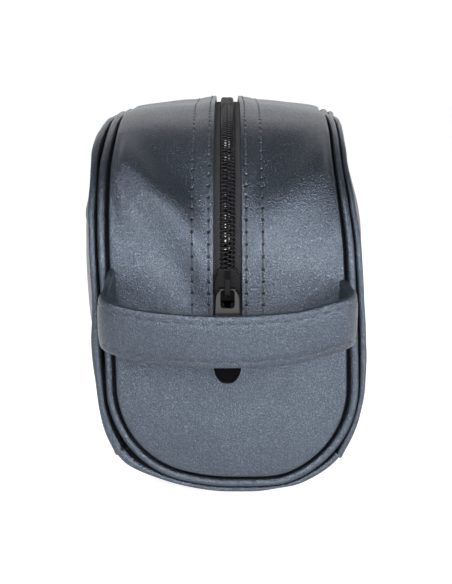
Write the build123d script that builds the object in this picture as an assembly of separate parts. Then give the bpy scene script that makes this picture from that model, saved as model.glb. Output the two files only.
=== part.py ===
from build123d import *
import math
import os

# Soft toiletry pouch: one long band makes the front end, the top and the back end, with a zipper
# down its middle, and the side and bottom panels wrap round it as a trough. A piped seam runs
# round the band's whole edge. A strap handle is sewn into the front seam over the zipper's end.
# Millimetres, +Z up, +X to the right seen from the front end, +Y towards the back end.
# The origin is the middle of the flat strip of the bottom panel that the pouch rests on.

# Overall size
BAG_LENGTH = 230.0            # front panel face to back panel face, along Y
PIPING_HALF_WIDTH = 45.7      # middle plane to the piping's centre line
BODY_RISE = 3.6               # side and bottom panels stand this far outside the piping line
PANEL_CROWN = 5.0             # the band's middle stands this far outside the piping line
SHOULDER_START_Z = 80.5       # where the upright front face starts to lean back
SHOULDER_RADIUS = 61.2        # middle of the band, over the first part of the shoulder
SHOULDER_ANGLE = 75.0
TOP_RADIUS = 142.0            # slower bend that ends in the flat top
U_CORNER_RADIUS = 37.4        # lower corners of the end panels, at the piping line

# Sheet goods
LEATHER = 1.2
LINING = 0.4
PIPING_RADIUS = 1.65
CORD_RADIUS = 1.0
SEAM_DEPTH = 7.0              # seam allowance turned into the pouch

# Band's cross-section
BAND_FLAT = 15.0              # half width that stays flat along the zipper
BAND_EDGE_SLOPE = 10.5        # degrees that the crown falls before the rounded shoulder
BAND_EDGE_RADIUS = 3.4
BODY_ROLL_RADIUS = 2.0        # rounded rim of the side and bottom panels beside the piping

# Zipper
SLOT_HALF_WIDTH = 5.4
SLOT_END_Z = 60.0
HEM_WIDTH = 9.0               # leather folded under along each edge of the slot
HEM_THICKNESS = 2.4
TAPE_THICKNESS = 0.6
TAPE_INNER = 1.25             # middle plane to the tape's edge
TAPE_OUTER = 14.6
TAPE_END_Z = 55.0
TOOTH_PITCH = 1.62
TOOTH_WIDTH = 0.6             # along the chain
TOOTH_HEIGHT = 2.2
TOOTH_REACH = 0.6             # each tooth passes the middle plane by this much
TOOTH_ROOT = 2.9
PARTED_SHIFT = 1.5            # how far the coils stand apart round the slider's wedge
CHAIN_FRONT_S = -5.4          # chain's ends, along the zipper from the shoulder's start
CHAIN_BACK_DROP = 15.0

# Slider and puller
SLIDER_LENGTH = 11.7
SLIDER_NOSE_HALF = 4.75
SLIDER_TAIL_HALF = 3.7
SLIDER_PLATE = 1.0
SLIDER_GAP = 0.2
PULLER_DROP = 32.0            # pivot to the end, seen from the front
PULLER_TOP_HALF = 4.2
PULLER_END_HALF = 4.9
PULLER_BAR_RADIUS = 0.75

# Handle strap
STRAP_WIDTH = 19.0
STRAP_THICKNESS = 3.4
STRAP_COVER = 1.1
STRAP_PIVOT_Y = -115.5
STRAP_PIVOT_Z = 69.0
STRAP_DROOP = 8.0             # degrees that the strap hangs below level
STRAP_SPLIT_RADIUS = 10.8     # the sewn ends stay inside this distance from the swing axis
STRAP_SPLIT_GAP = 0.3
STRAP_ROOT_X = 42.0
STRAP_LEAD = 13.0             # straight run out of the seam
STRAP_OUTWARD = 12.0          # degrees that this run splays outwards
STRAP_TURN_RADIUS = 10.0
STRAP_INWARD = 68.0           # degrees from straight ahead where the turn ends

# Bulge of the side panels
BULGE_HEIGHT = 7.0
BULGE_LOW_Z = 45.0
BULGE_HIGH_Z = 131.0
BULGE_END_MARGIN = 7.5

# Worked out from the sizes above
END_Y = -(BAG_LENGTH / 2 - PANEL_CROWN)               # plane of the front piping
PIPING_LOW_Z = BODY_RISE
U_CENTER_X = PIPING_HALF_WIDTH - U_CORNER_RADIUS
U_CENTER_Z = PIPING_LOW_Z + U_CORNER_RADIUS
SHOULDER_Y = -BAG_LENGTH / 2 + SHOULDER_RADIUS
SHOULDER_AXIS = Axis((0, SHOULDER_Y, SHOULDER_START_Z), (-1, 0, 0))
SHOULDER_SIN = math.sin(math.radians(SHOULDER_ANGLE))
SHOULDER_COS = math.cos(math.radians(SHOULDER_ANGLE))
TOP_START_Y = SHOULDER_Y + (TOP_RADIUS - SHOULDER_RADIUS) * SHOULDER_COS
TOP_CENTER_Z = SHOULDER_START_Z - (TOP_RADIUS - SHOULDER_RADIUS) * SHOULDER_SIN
TOP_AXIS = Axis((0, TOP_START_Y, TOP_CENTER_Z), (-1, 0, 0))
WALL_OUTER = PIPING_HALF_WIDTH + BODY_RISE
TAPE_TOP = PANEL_CROWN - HEM_THICKNESS
TOOTH_MIDDLE = TAPE_TOP + TOOTH_HEIGHT / 2
PLATE_BOTTOM = TAPE_TOP + TOOTH_HEIGHT + SLIDER_GAP
PLATE_TOP = PLATE_BOTTOM + SLIDER_PLATE


# Section planes: x is across the pouch and y is out of the band's face, from the piping line

def rim_plane(angle: float) -> Plane:
    """Section plane on the shoulder, at an angle from the upright front face."""
    sine = math.sin(math.radians(angle))
    cosine = math.cos(math.radians(angle))
    radius = SHOULDER_RADIUS - PANEL_CROWN
    origin = (0, SHOULDER_Y - radius * cosine, SHOULDER_START_Z + radius * sine)
    return Plane(origin=origin, x_dir=(1, 0, 0), z_dir=(0, -sine, -cosine))


def upright_plane(height: float) -> Plane:
    """Section plane on the upright front face."""
    return Plane(origin=(0, END_Y, height), x_dir=(1, 0, 0), z_dir=(0, 0, -1))


def top_plane() -> Plane:
    """Section plane where the flat top starts."""
    height = TOP_CENTER_Z + TOP_RADIUS - PANEL_CROWN
    return Plane(origin=(0, TOP_START_Y, height), x_dir=(1, 0, 0), z_dir=(0, -1, 0))


def bottom_plane() -> Plane:
    """Section plane where the corner of the front U meets its flat bottom."""
    origin = (U_CENTER_X, END_Y, U_CENTER_Z + U_CENTER_X)
    return Plane(origin=origin, x_dir=(0, 0, -1), z_dir=(-1, 0, 0))


# Runs of one quarter of the rim, front right, each made from the same section

def upright_run(section: Sketch, low: float, high: float) -> Part:
    """Section carried up the front face between two heights."""
    return extrude(upright_plane(low) * section, amount=high - low, dir=(0, 0, 1))


def shoulder_runs(section: Sketch) -> list:
    """Section carried over the shoulder and along the top to the pouch's middle."""
    first = revolve(rim_plane(0) * section, SHOULDER_AXIS, SHOULDER_ANGLE)
    second = revolve(rim_plane(SHOULDER_ANGLE) * section, TOP_AXIS, 90 - SHOULDER_ANGLE)
    flat = extrude(top_plane() * section, amount=-TOP_START_Y, dir=(0, 1, 0))
    return [first, second, flat]


def corner_run(section: Sketch, start: float = 0.0, size: float = 90.0) -> Part:
    """Section carried round the lower corner of the front U."""
    axis = Axis((U_CENTER_X, 0, U_CENTER_Z), (0, 1, 0))
    face = upright_plane(U_CENTER_Z) * section
    return revolve(face.rotate(axis, start), axis, size)


def bottom_run(section: Sketch) -> Part:
    """Section carried along the flat bottom of the front U to the middle plane."""
    return extrude(bottom_plane() * section, amount=U_CENTER_X)


def beyond_corner(section: Sketch) -> Sketch:
    """Part of a section that turns round the lower corner."""
    reach = 3 * PIPING_HALF_WIDTH
    return section & Pos(U_CENTER_X + reach / 2, 0) * Rectangle(reach, 4 * BAG_LENGTH)


def rim_quarter(section: Sketch) -> list:
    """Section carried round a quarter of the whole rim."""
    corner = beyond_corner(section)
    return [
        bottom_run(corner),
        corner_run(corner),
        upright_run(section, U_CENTER_Z, SHOULDER_START_Z),
        *shoulder_runs(section),
    ]


def joined(pieces: list) -> Part:
    """One solid from pieces that meet face to face."""
    return pieces[0].fuse(*pieces[1:]).clean()


def front_and_back(pieces: list) -> Part:
    """One solid from front pieces and their mirror images at the back."""
    front = joined(pieces)
    return joined([front, front.mirror(Plane.XZ)])


def all_four(pieces: list) -> Part:
    """One solid from the pieces of a quarter and their mirror images."""
    quarter = joined(pieces)
    half = joined([quarter, quarter.mirror(Plane.YZ)])
    return joined([half, half.mirror(Plane.XZ)])


# Sections

def band_strip(depth: float, thickness: float, inner: float, edge: float) -> Sketch:
    """Half of the band's cross-section, from a distance off the middle out to the seam.

    The strip lies a depth under the leather's face. The crown falls away from the flat middle,
    the rounded shoulder turns it down beside the piping, and its edge runs on into the seam.
    """
    slope = math.radians(BAND_EDGE_SLOPE)
    shoulder_x = PIPING_HALF_WIDTH - PIPING_RADIUS + 0.25 - BAND_EDGE_RADIUS
    reach = (shoulder_x - BAND_FLAT) / math.sin(slope)
    crown_radius = reach + BAND_EDGE_RADIUS
    crown_center = (BAND_FLAT, PANEL_CROWN - crown_radius)
    shoulder_y = crown_center[1] + reach * math.cos(slope)
    sides = []
    for down in (depth, depth + thickness):
        start = (inner, PANEL_CROWN - down)
        line = Line(start, (BAND_FLAT, PANEL_CROWN - down))
        crown = CenterArc(crown_center, crown_radius - down, 90, -BAND_EDGE_SLOPE)
        turn = CenterArc(
            (shoulder_x, shoulder_y), BAND_EDGE_RADIUS - down, 90 - BAND_EDGE_SLOPE, BAND_EDGE_SLOPE - 90
        )
        tail = Line(turn @ 1, (shoulder_x + BAND_EDGE_RADIUS - down, -edge))
        sides.append([line, crown, turn, tail])
    outer, under = sides
    closing = [Line(outer[0] @ 0, under[0] @ 0), Line(outer[3] @ 1, under[3] @ 1)]
    return make_face([*outer, *under, *closing]) - piping_disc()


def piping_disc(radius: float = PIPING_RADIUS) -> Sketch:
    """Cross-section of the piping."""
    return Pos(PIPING_HALF_WIDTH, 0) * Circle(radius)


def body_rim_section(wall_end: float) -> Sketch:
    """Rim of a side or bottom panel: seam allowance, turned bead beside the piping, and wall.

    The wall runs from the bead towards the inside of the pouch for wall_end.
    """
    inner_x = PIPING_HALF_WIDTH - 0.4
    bead_x = WALL_OUTER - BODY_ROLL_RADIUS
    bead_top = 0.4
    flange = Pos(inner_x + LEATHER / 2, -(SEAM_DEPTH + 2.0) / 2) * Rectangle(LEATHER, SEAM_DEPTH - 2.0)
    crest = Pos(bead_x, bead_top - BODY_ROLL_RADIUS) * Circle(BODY_ROLL_RADIUS)
    fold = Pos((inner_x + WALL_OUTER) / 2, -2.2) * Rectangle(WALL_OUTER - inner_x, 1.4)
    wall = wall_strip(WALL_OUTER, LEATHER, BODY_ROLL_RADIUS - bead_top, wall_end)
    return flange + crest + fold + wall - piping_disc()


def wall_strip(outer: float, thickness: float, start: float, end: float) -> Sketch:
    """Straight strip of a wall's cross-section, from one distance behind the rim to another."""
    middle = (outer - thickness / 2, -(start + end) / 2)
    return Pos(*middle) * Rectangle(thickness, end - start)


# Band, its lining, piping and seam

def make_band_panel() -> Part:
    """Leather of the front end, top and back end, with the hemmed zipper slot."""
    plain = band_strip(0, LEATHER, 0, SEAM_DEPTH)
    slotted = band_strip(0, LEATHER, SLOT_HALF_WIDTH + LEATHER, SEAM_DEPTH) + hem_section()
    corner = beyond_corner(plain)
    return all_four([
        bottom_run(corner),
        corner_run(corner),
        upright_run(plain, U_CENTER_Z, SLOT_END_Z),
        upright_run(slotted, SLOT_END_Z, SHOULDER_START_Z),
        *shoulder_runs(slotted),
    ])


def hem_section() -> Sketch:
    """Leather folded under along the slot, with a rounded fold."""
    nose = HEM_THICKNESS / 2
    middle_y = PANEL_CROWN - nose
    fold = Pos(SLOT_HALF_WIDTH + nose, middle_y) * Circle(nose)
    layers = Pos(SLOT_HALF_WIDTH + (nose + HEM_WIDTH) / 2, middle_y) * Rectangle(HEM_WIDTH - nose, 2 * nose)
    return fold + layers


def make_band_lining() -> Part:
    """Thin cloth inside the band, ending beside the zipper tapes."""
    plain = band_strip(LEATHER, LINING, 0, SEAM_DEPTH)
    slotted = band_strip(LEATHER, LINING, SLOT_HALF_WIDTH + HEM_WIDTH + 0.1, SEAM_DEPTH)
    corner = beyond_corner(plain)
    return all_four([
        bottom_run(corner),
        corner_run(corner),
        upright_run(plain, U_CENTER_Z, SLOT_END_Z),
        upright_run(slotted, SLOT_END_Z, SHOULDER_START_Z),
        *shoulder_runs(slotted),
    ])


def make_piping_cover() -> Part:
    """Leather strip wrapped round the piping cord, with its flange in the seam."""
    flange_low = PIPING_HALF_WIDTH - PIPING_RADIUS + 0.25
    flange_high = PIPING_HALF_WIDTH - 0.4
    flange = Pos((flange_low + flange_high) / 2, -(SEAM_DEPTH + CORD_RADIUS) / 2)
    section = piping_disc() + flange * Rectangle(flange_high - flange_low, SEAM_DEPTH - CORD_RADIUS)
    return all_four(rim_quarter(section - piping_disc(CORD_RADIUS)))


def make_piping_cord() -> Part:
    """Round filler cord inside the piping."""
    return all_four(rim_quarter(piping_disc(CORD_RADIUS)))


def make_seam_binding() -> Part:
    """Folded tape that covers the raw edges of the seam allowance inside the pouch."""
    low = PIPING_HALF_WIDTH - PIPING_RADIUS + 0.25 - LEATHER - LINING
    high = PIPING_HALF_WIDTH - 0.4 + LEATHER
    wall = 0.4
    fold = Pos((low + high) / 2, -SEAM_DEPTH) * Rectangle(high - low + 2 * wall, 2 * wall)
    legs = [Pos(side, -SEAM_DEPTH + 1.5) * Rectangle(wall, 3.0) for side in (low - wall / 2, high + wall / 2)]
    stack = Pos((low + high) / 2, 0) * Rectangle(high - low, 2 * SEAM_DEPTH)
    return all_four(rim_quarter(fold + legs - stack))


# Side and bottom panels

def side_plate(offset: float, outer: float, thickness: float) -> Part:
    """Flat plate of a side wall above the upright part, a distance inside the piping line."""
    first_radius = SHOULDER_RADIUS - PANEL_CROWN - offset
    second_radius = TOP_RADIUS - PANEL_CROWN - offset
    edge = [
        Line((0, SHOULDER_START_Z), (SHOULDER_Y - first_radius, SHOULDER_START_Z)),
        CenterArc((SHOULDER_Y, SHOULDER_START_Z), first_radius, 180, -SHOULDER_ANGLE),
        CenterArc((TOP_START_Y, TOP_CENTER_Z), second_radius, 180 - SHOULDER_ANGLE, SHOULDER_ANGLE - 90),
        Line((TOP_START_Y, TOP_CENTER_Z + second_radius), (0, TOP_CENTER_Z + second_radius)),
        Line((0, TOP_CENTER_Z + second_radius), (0, SHOULDER_START_Z)),
    ]
    plane = Plane(origin=(outer, 0, 0), x_dir=(0, 1, 0), z_dir=(1, 0, 0))
    return extrude(plane * make_face(edge), amount=-thickness)


def bulge(inset: float, base: float, height: float) -> Part:
    """Dome of a filled side panel, lofted through ever smaller rounded outlines."""
    faces = []
    for margin, rise in ((0, 0.0), (7, 0.30), (16, 0.62), (27, 0.88), (38, 1.0)):
        width = BAG_LENGTH - 2 * (PANEL_CROWN + BULGE_END_MARGIN + inset + margin)
        tall = BULGE_HIGH_Z - BULGE_LOW_Z - 2 * (inset + margin)
        outline = Rectangle(width, tall)
        outline = fillet(outline.vertices().group_by(Axis.Y)[0], tall * 0.30)
        outline = fillet(outline.vertices().group_by(Axis.Y)[-1], tall * 0.58)
        middle = (base + height * rise, 0, (BULGE_LOW_Z + BULGE_HIGH_Z) / 2)
        plane = Plane(origin=middle, x_dir=(0, 1, 0), z_dir=(1, 0, 0))
        faces.append(plane * outline)
    return loft(faces)


def make_side_panel() -> Part:
    """Right side panel: rim, wall, bulge, and the upper half of the lower corner."""
    half_length = -END_Y
    rim = body_rim_section(14.0)
    wall = body_rim_section(half_length)
    plain = front_and_back([
        corner_run(wall, 0, 45),
        upright_run(wall, U_CENTER_Z, SHOULDER_START_Z),
        *shoulder_runs(rim),
        side_plate(14.0, WALL_OUTER, LEATHER),
    ])
    filled = plain.fuse(bulge(0, WALL_OUTER - LEATHER / 2, BULGE_HEIGHT + LEATHER / 2))
    return filled.cut(bulge(LEATHER, WALL_OUTER - 2 * LEATHER, BULGE_HEIGHT + LEATHER))


def make_side_lining() -> Part:
    """Thin cloth inside the right side panel."""
    half_length = -END_Y
    outer = WALL_OUTER - LEATHER
    rim = wall_strip(outer, LINING, 3.8, 14.0)
    wall = wall_strip(outer, LINING, 3.8, half_length)
    plain = front_and_back([
        corner_run(wall, 0, 45),
        upright_run(wall, U_CENTER_Z, SHOULDER_START_Z),
        *shoulder_runs(rim),
        side_plate(14.0, outer, LINING),
    ])
    outer_face = bulge(LEATHER, WALL_OUTER - 2 * LEATHER, BULGE_HEIGHT + LEATHER)
    inner_face = bulge(LEATHER + LINING, WALL_OUTER - 2 * LEATHER - LINING, BULGE_HEIGHT + LEATHER)
    room = Pos(outer - LINING - 25, 0, 0) * Box(50, 2 * BAG_LENGTH, 2 * BAG_LENGTH)
    return plain.fuse(outer_face).cut(inner_face).cut(room)


def make_bottom_panel() -> Part:
    """Bottom panel, up to its seams with the side panels half way round the corners."""
    section = body_rim_section(-END_Y)
    return all_four([bottom_run(section), corner_run(section, 45, 45)])


def make_bottom_lining() -> Part:
    """Thin cloth inside the bottom panel."""
    section = wall_strip(WALL_OUTER - LEATHER, LINING, 3.8, -END_Y)
    return all_four([bottom_run(section), corner_run(section, 45, 45)])


# Zipper

def make_tape() -> Part:
    """Right zipper tape, under the hem, from the front slot end to the back one."""
    middle = ((TAPE_INNER + TAPE_OUTER) / 2, TAPE_TOP - TAPE_THICKNESS / 2)
    section = Pos(*middle) * Rectangle(TAPE_OUTER - TAPE_INNER, TAPE_THICKNESS)
    return front_and_back([upright_run(section, TAPE_END_Z, SHOULDER_START_Z), *shoulder_runs(section)])


def chain_place(distance: float) -> Plane:
    """Place on the zipper's middle line, a distance along it from the shoulder's start.

    The plane's x is across the pouch, its y along the zipper and its z out of the pouch.
    """
    lift = TOOTH_MIDDLE - PANEL_CROWN
    first = SHOULDER_RADIUS + lift
    second = TOP_RADIUS + lift
    first_length = first * math.radians(SHOULDER_ANGLE)
    second_length = second * math.radians(90 - SHOULDER_ANGLE)
    half = first_length + second_length - TOP_START_Y
    if distance > half:
        front = chain_place(2 * half - distance)
        out = front.z_dir
        return Plane(
            origin=(0, -front.origin.Y, front.origin.Z), x_dir=(1, 0, 0), z_dir=(0, -out.Y, out.Z)
        )
    if distance < 0:
        return Plane(
            origin=(0, SHOULDER_Y - first, SHOULDER_START_Z + distance), x_dir=(1, 0, 0), z_dir=(0, -1, 0)
        )
    if distance < first_length:
        angle = distance / first
        center = (SHOULDER_Y, SHOULDER_START_Z)
        radius = first
    elif distance < first_length + second_length:
        angle = math.radians(SHOULDER_ANGLE) + (distance - first_length) / second
        center = (TOP_START_Y, TOP_CENTER_Z)
        radius = second
    else:
        along = TOP_START_Y + distance - first_length - second_length
        return Plane(origin=(0, along, TOP_CENTER_Z + second), x_dir=(1, 0, 0), z_dir=(0, 0, 1))
    out = (0, -math.cos(angle), math.sin(angle))
    origin = (0, center[0] + radius * out[1], center[1] + radius * out[2])
    return Plane(origin=origin, x_dir=(1, 0, 0), z_dir=out)


def chain_length() -> float:
    """Length of the tooth row over the top, from the shoulder's start to its mirror image."""
    lift = TOOTH_MIDDLE - PANEL_CROWN
    first = (SHOULDER_RADIUS + lift) * math.radians(SHOULDER_ANGLE)
    second = (TOP_RADIUS + lift) * math.radians(90 - SHOULDER_ANGLE)
    return 2 * (first + second - TOP_START_Y)


def parting(distance: float) -> float:
    """How far a tooth stands off its meshed place, beside the slider's wedge and past it."""
    share = (2.4 - distance) / 3.3
    return PARTED_SHIFT * min(max(share, 0.0), 1.0)


def make_coil(side: int) -> Compound:
    """Teeth of one coil: side 1 is the right, -1 the left, half a pitch further on."""
    length = TOOTH_ROOT + TOOTH_REACH
    tooth = Box(length, TOOTH_WIDTH, TOOTH_HEIGHT)
    teeth = []
    distance = CHAIN_FRONT_S + (0.0 if side > 0 else TOOTH_PITCH / 2)
    while distance < chain_length() + CHAIN_BACK_DROP:
        middle = TOOTH_ROOT - length / 2 + parting(distance)
        teeth.append(chain_place(distance) * Pos(side * middle, 0, 0) * tooth)
        distance += TOOTH_PITCH
    return Compound(children=teeth)


def make_top_stops() -> Compound:
    """Two small clamps that end the coils in front of the closed slider."""
    low = CHAIN_FRONT_S - TOOTH_PITCH - 0.8
    clamp = fillet(Box(3.0, 2.2, TOOTH_HEIGHT).edges().filter_by(Axis.Z), 0.5)
    places = [chain_place(low) * Pos(side * 2.7, 0, 0) for side in (-1, 1)]
    return Compound(children=[place * clamp for place in places])


def make_bottom_stop() -> Part:
    """Clamp across both coils at the back end of the zipper."""
    distance = chain_length() + CHAIN_BACK_DROP + 2.0
    clamp = fillet(Box(6.6, 2.6, TOOTH_HEIGHT + 0.2).edges().filter_by(Axis.Z), 0.6)
    return chain_place(distance) * Pos(0, 0, 0.1) * clamp


# Slider, on a plane whose y is up the zipper and whose z is out of the front face

SLIDER_PLANE = Plane(origin=(0, END_Y, SHOULDER_START_Z), x_dir=(1, 0, 0), z_dir=(0, -1, 0))


def slider_outline() -> Sketch:
    """Plate outline: broad round nose below, narrow tail above."""
    half = SLIDER_LENGTH / 2
    right = [
        (0, -half),
        (SLIDER_NOSE_HALF - 1.6, -half),
        (SLIDER_NOSE_HALF, -half + 2.4),
        (SLIDER_NOSE_HALF, -half + 7.2),
        (SLIDER_TAIL_HALF, half - 1.6),
        (SLIDER_TAIL_HALF, half),
        (0, half),
    ]
    left = [(-x, y) for x, y in reversed(right[1:-1])]
    face = make_face(Polyline(*right, *left, close=True))
    sharp = [v for v in face.vertices() if abs(v.X) > 1]
    return fillet(sharp, 0.7)


def make_slider_body() -> Part:
    """Upper and lower plates joined by the wedge, with side flanges that guide the coils."""
    outline = slider_outline()
    upper = extrude(Pos(0, 0, PLATE_BOTTOM) * outline, SLIDER_PLATE)
    upper = fillet(upper.edges().group_by(Axis.Z)[-1], 0.35)
    lower_top = TAPE_TOP - TAPE_THICKNESS - 3 * SLIDER_GAP
    lower = extrude(Pos(0, 0, lower_top) * outline, -SLIDER_PLATE)
    wedge_points = [(0, -0.5), (0.75, -2.0), (0.45, -4.2), (-0.45, -4.2), (-0.75, -2.0)]
    wedge = extrude(
        Pos(0, 0, lower_top) * make_face(Polyline(*wedge_points, close=True)), PLATE_BOTTOM - lower_top
    )
    flange_low = TAPE_TOP + 0.35
    guide = [(3.1, 5.2), (3.65, 5.2), (4.65, 1.0), (4.65, 0.3), (4.15, 0.3), (3.1, 2.6)]
    right_flange = extrude(
        Pos(0, 0, flange_low) * make_face(Polyline(*guide, close=True)), PLATE_BOTTOM - flange_low
    )
    flanges = [right_flange, right_flange.mirror(Plane.YZ)]
    return SLIDER_PLANE * joined([upper, lower, wedge, *flanges])


def make_slider_bridge() -> Part:
    """Arched loop on the slider that holds the puller's bar."""
    low, high, rise, bar = -3.6, 5.4, 3.2, 1.1
    outer = Polyline((low, 0), (low, rise - 0.8), (low + 1.4, rise), (high - 3.0, rise), (high, 0.6),
                     (high, 0), close=True)
    inner = Polyline((low + bar, 0), (low + bar, rise - bar - 0.3), (low + 1.4 + 0.4, rise - bar),
                     (high - 3.4, rise - bar), (high - 1.4, 0), close=True)
    arch = make_face(outer) - make_face(inner)
    plane = Plane(origin=(0, 0, PLATE_TOP), x_dir=(0, 1, 0), z_dir=(1, 0, 0))
    loop = extrude(plane * arch, 1.1, both=True)
    top = [e for e in loop.edges() if e.center().Z > PLATE_TOP + 0.5 and abs(e.center().X) > 1.0]
    loop = fillet([e for e in top if e.center().Z > PLATE_TOP + rise - 0.6 * bar], 0.35)
    return SLIDER_PLANE * loop


PULLER_PIVOT_S = -1.6
PULLER_PIVOT_V = PLATE_TOP + 1.0


def puller_side_curve(offset: float) -> list:
    """Side view of one face of the puller: straight shank, then a curl away from the panel."""
    lean = math.radians(10)
    start_y = PULLER_PIVOT_S
    start_z = PULLER_PIVOT_V
    shank = 19.0
    bend = 20.0
    along = (-math.cos(lean), math.sin(lean))
    out = (math.sin(lean), math.cos(lean))
    first = (start_y + out[0] * offset, start_z + out[1] * offset)
    second = (first[0] + shank * along[0], first[1] + shank * along[1])
    center = (
        start_y + shank * along[0] + out[0] * bend,
        start_z + shank * along[1] + out[1] * bend,
    )
    radius = bend - offset
    arc = CenterArc(center, radius, 270 - math.degrees(lean), -48)
    return [Line(first, second), arc]


def puller_outline(margin: float) -> Sketch:
    """Puller seen from the front: an arch round the bridge that widens to a rounded end."""
    end = PULLER_PIVOT_S - PULLER_DROP + margin
    top = PULLER_PIVOT_S + PULLER_BAR_RADIUS - margin
    arch = PULLER_TOP_HALF - margin
    half = PULLER_END_HALF - margin
    shape = [
        Line((-arch, top - arch), (-half, end + half)),
        ThreePointArc((-half, end + half), (0, end), (half, end + half)),
        Line((half, end + half), (arch, top - arch)),
        ThreePointArc((arch, top - arch), (0, top), (-arch, top - arch)),
    ]
    return make_face(shape)


def puller_sheet(low: float, high: float, pieces: slice) -> Part:
    """Slab between two of the puller's faces, wider than the puller."""
    near = puller_side_curve(low)[pieces]
    outer = puller_side_curve(high)[pieces]
    ends = [Line(near[0] @ 0, outer[0] @ 0), Line(near[-1] @ 1, outer[-1] @ 1)]
    side_plane = Plane(origin=(0, 0, 0), x_dir=(0, 1, 0), z_dir=(1, 0, 0))
    return extrude(side_plane * make_face([*near, *outer, *ends]), 8, both=True)


def make_puller() -> Part:
    """Puller: round bar in the bridge, open eye, and a tab dished between raised rims."""
    window = Pos(0, PULLER_PIVOT_S - 3.3) * RectangleRounded(5.2, 6.6, 1.2)
    outline = extrude(puller_outline(0) - window, 40)
    whole = slice(0, 2)
    curl = slice(1, 2)
    tab = (puller_sheet(-0.75, 0.75, whole) + puller_sheet(-1.6, 0.75, curl)) & outline
    below_eye = Pos(0, PULLER_PIVOT_S - 8.2 - 20) * Rectangle(20, 40)
    recess = extrude(puller_outline(0.8) & below_eye, 40)
    dish = puller_sheet(0.35, 2.0, whole) & recess
    bar_place = Pos(0, PULLER_PIVOT_S, PULLER_PIVOT_V) * Rot(0, 90, 0)
    bar = bar_place * Cylinder(PULLER_BAR_RADIUS, 2 * (PULLER_TOP_HALF - 1.2))
    return SLIDER_PLANE * (tab - dish + bar)


# Handle strap, drawn level in plan and then turned down about its swing axis

def strap_side(offset: float) -> list:
    """Half of one side of the strap in plan, from the seam to the middle plane."""
    splay = math.radians(STRAP_OUTWARD)
    heading = Vector(math.sin(splay), -math.cos(splay))
    sideways = Vector(math.cos(splay), math.sin(splay))
    root = Vector(STRAP_ROOT_X, END_Y + 1.0)
    center = root + heading * STRAP_LEAD - sideways * STRAP_TURN_RADIUS
    first = root + sideways * offset
    bend = CenterArc(
        (center.X, center.Y), STRAP_TURN_RADIUS + offset, STRAP_OUTWARD, -(STRAP_OUTWARD + STRAP_INWARD)
    )
    joint = bend @ 1
    rest = math.radians(90 - STRAP_INWARD)
    far_radius = joint.X / math.sin(rest)
    far_center = (0, joint.Y + far_radius * math.cos(rest))
    far = CenterArc(far_center, far_radius, -STRAP_INWARD, STRAP_INWARD - 90)
    return [Line((first.X, first.Y), bend @ 0), bend, far]


def strap_layer(low: float, high: float, width: float) -> Part:
    """One layer of the strap over its whole length, between two distances from its middle."""
    near = strap_side(low)
    outer = strap_side(high)
    closing = [Line(near[0] @ 0, outer[0] @ 0), Line(near[2] @ 1, outer[2] @ 1)]
    half = extrude(make_face([*near, *outer, *closing]), width / 2, both=True)
    whole = joined([half, half.mirror(Plane.YZ)])
    axis = Axis((0, STRAP_PIVOT_Y, STRAP_PIVOT_Z), (1, 0, 0))
    return (Pos(0, 0, STRAP_PIVOT_Z) * whole).rotate(axis, STRAP_DROOP)


def swing_drum(radius: float) -> Part:
    """Round zone about the swing axis that keeps the sewn ends and the strap apart."""
    return Pos(0, STRAP_PIVOT_Y, STRAP_PIVOT_Z) * Rot(0, 90, 0) * Cylinder(radius, 2 * BAG_LENGTH)


def make_strap_layers() -> dict:
    """Front cover, back cover and filler of the strap that swings."""
    half = STRAP_THICKNESS / 2
    drum = swing_drum(STRAP_SPLIT_RADIUS + STRAP_SPLIT_GAP)
    front = strap_layer(half - STRAP_COVER, half, STRAP_WIDTH)
    back = strap_layer(-half, -half + STRAP_COVER, STRAP_WIDTH)
    core = strap_layer(-half + STRAP_COVER, half - STRAP_COVER, STRAP_WIDTH - 5)
    behind = Pos(0, STRAP_PIVOT_Y + 20, STRAP_PIVOT_Z) * Box(200, 40, 100)
    return {
        "handle_front_cover": front - drum - behind,
        "handle_back_cover": back - drum - behind,
        "handle_filler": core - drum - behind,
    }


def make_handle_end(band: Part, piping: Part) -> Part:
    """Right sewn end of the strap, from the seam out to the swing zone."""
    half = STRAP_THICKNESS / 2
    whole = strap_layer(-half, half, STRAP_WIDTH) & swing_drum(STRAP_SPLIT_RADIUS)
    right = whole & Pos(100, STRAP_PIVOT_Y, STRAP_PIVOT_Z) * Box(200, 60, 60)
    return (right - band - piping).solids().sort_by(SortBy.VOLUME)[-1]


def main() -> None:
    """Build every piece and write each one to its own file."""
    os.makedirs("parts", exist_ok=True)
    band = make_band_panel()
    piping = make_piping_cover()
    side = make_side_panel()
    side_lining = make_side_lining()
    tape = make_tape()
    handle_end = make_handle_end(band, piping)
    pieces = {
        "end_and_top_panel": band,
        "end_and_top_lining": make_band_lining(),
        "piping_cover": piping,
        "piping_cord": make_piping_cord(),
        "seam_binding": make_seam_binding(),
        "right_side_panel": side,
        "left_side_panel": side.mirror(Plane.YZ),
        "right_side_lining": side_lining,
        "left_side_lining": side_lining.mirror(Plane.YZ),
        "bottom_panel": make_bottom_panel(),
        "bottom_lining": make_bottom_lining(),
        "zipper_tape_right": tape,
        "zipper_tape_left": tape.mirror(Plane.YZ),
        "zipper_coil_right": make_coil(1),
        "zipper_coil_left": make_coil(-1),
        "zipper_top_stops": make_top_stops(),
        "zipper_bottom_stop": make_bottom_stop(),
        "slider_body": make_slider_body(),
        "slider_bridge": make_slider_bridge(),
        "puller": make_puller(),
        "handle_end_right": handle_end,
        "handle_end_left": handle_end.mirror(Plane.YZ),
        **make_strap_layers(),
    }
    for name, shape in pieces.items():
        export_step(shape, f"parts/{name}.step")
        print(name, len(shape.solids()), round(sum(s.volume for s in shape.solids()), 1))


main()
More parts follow.
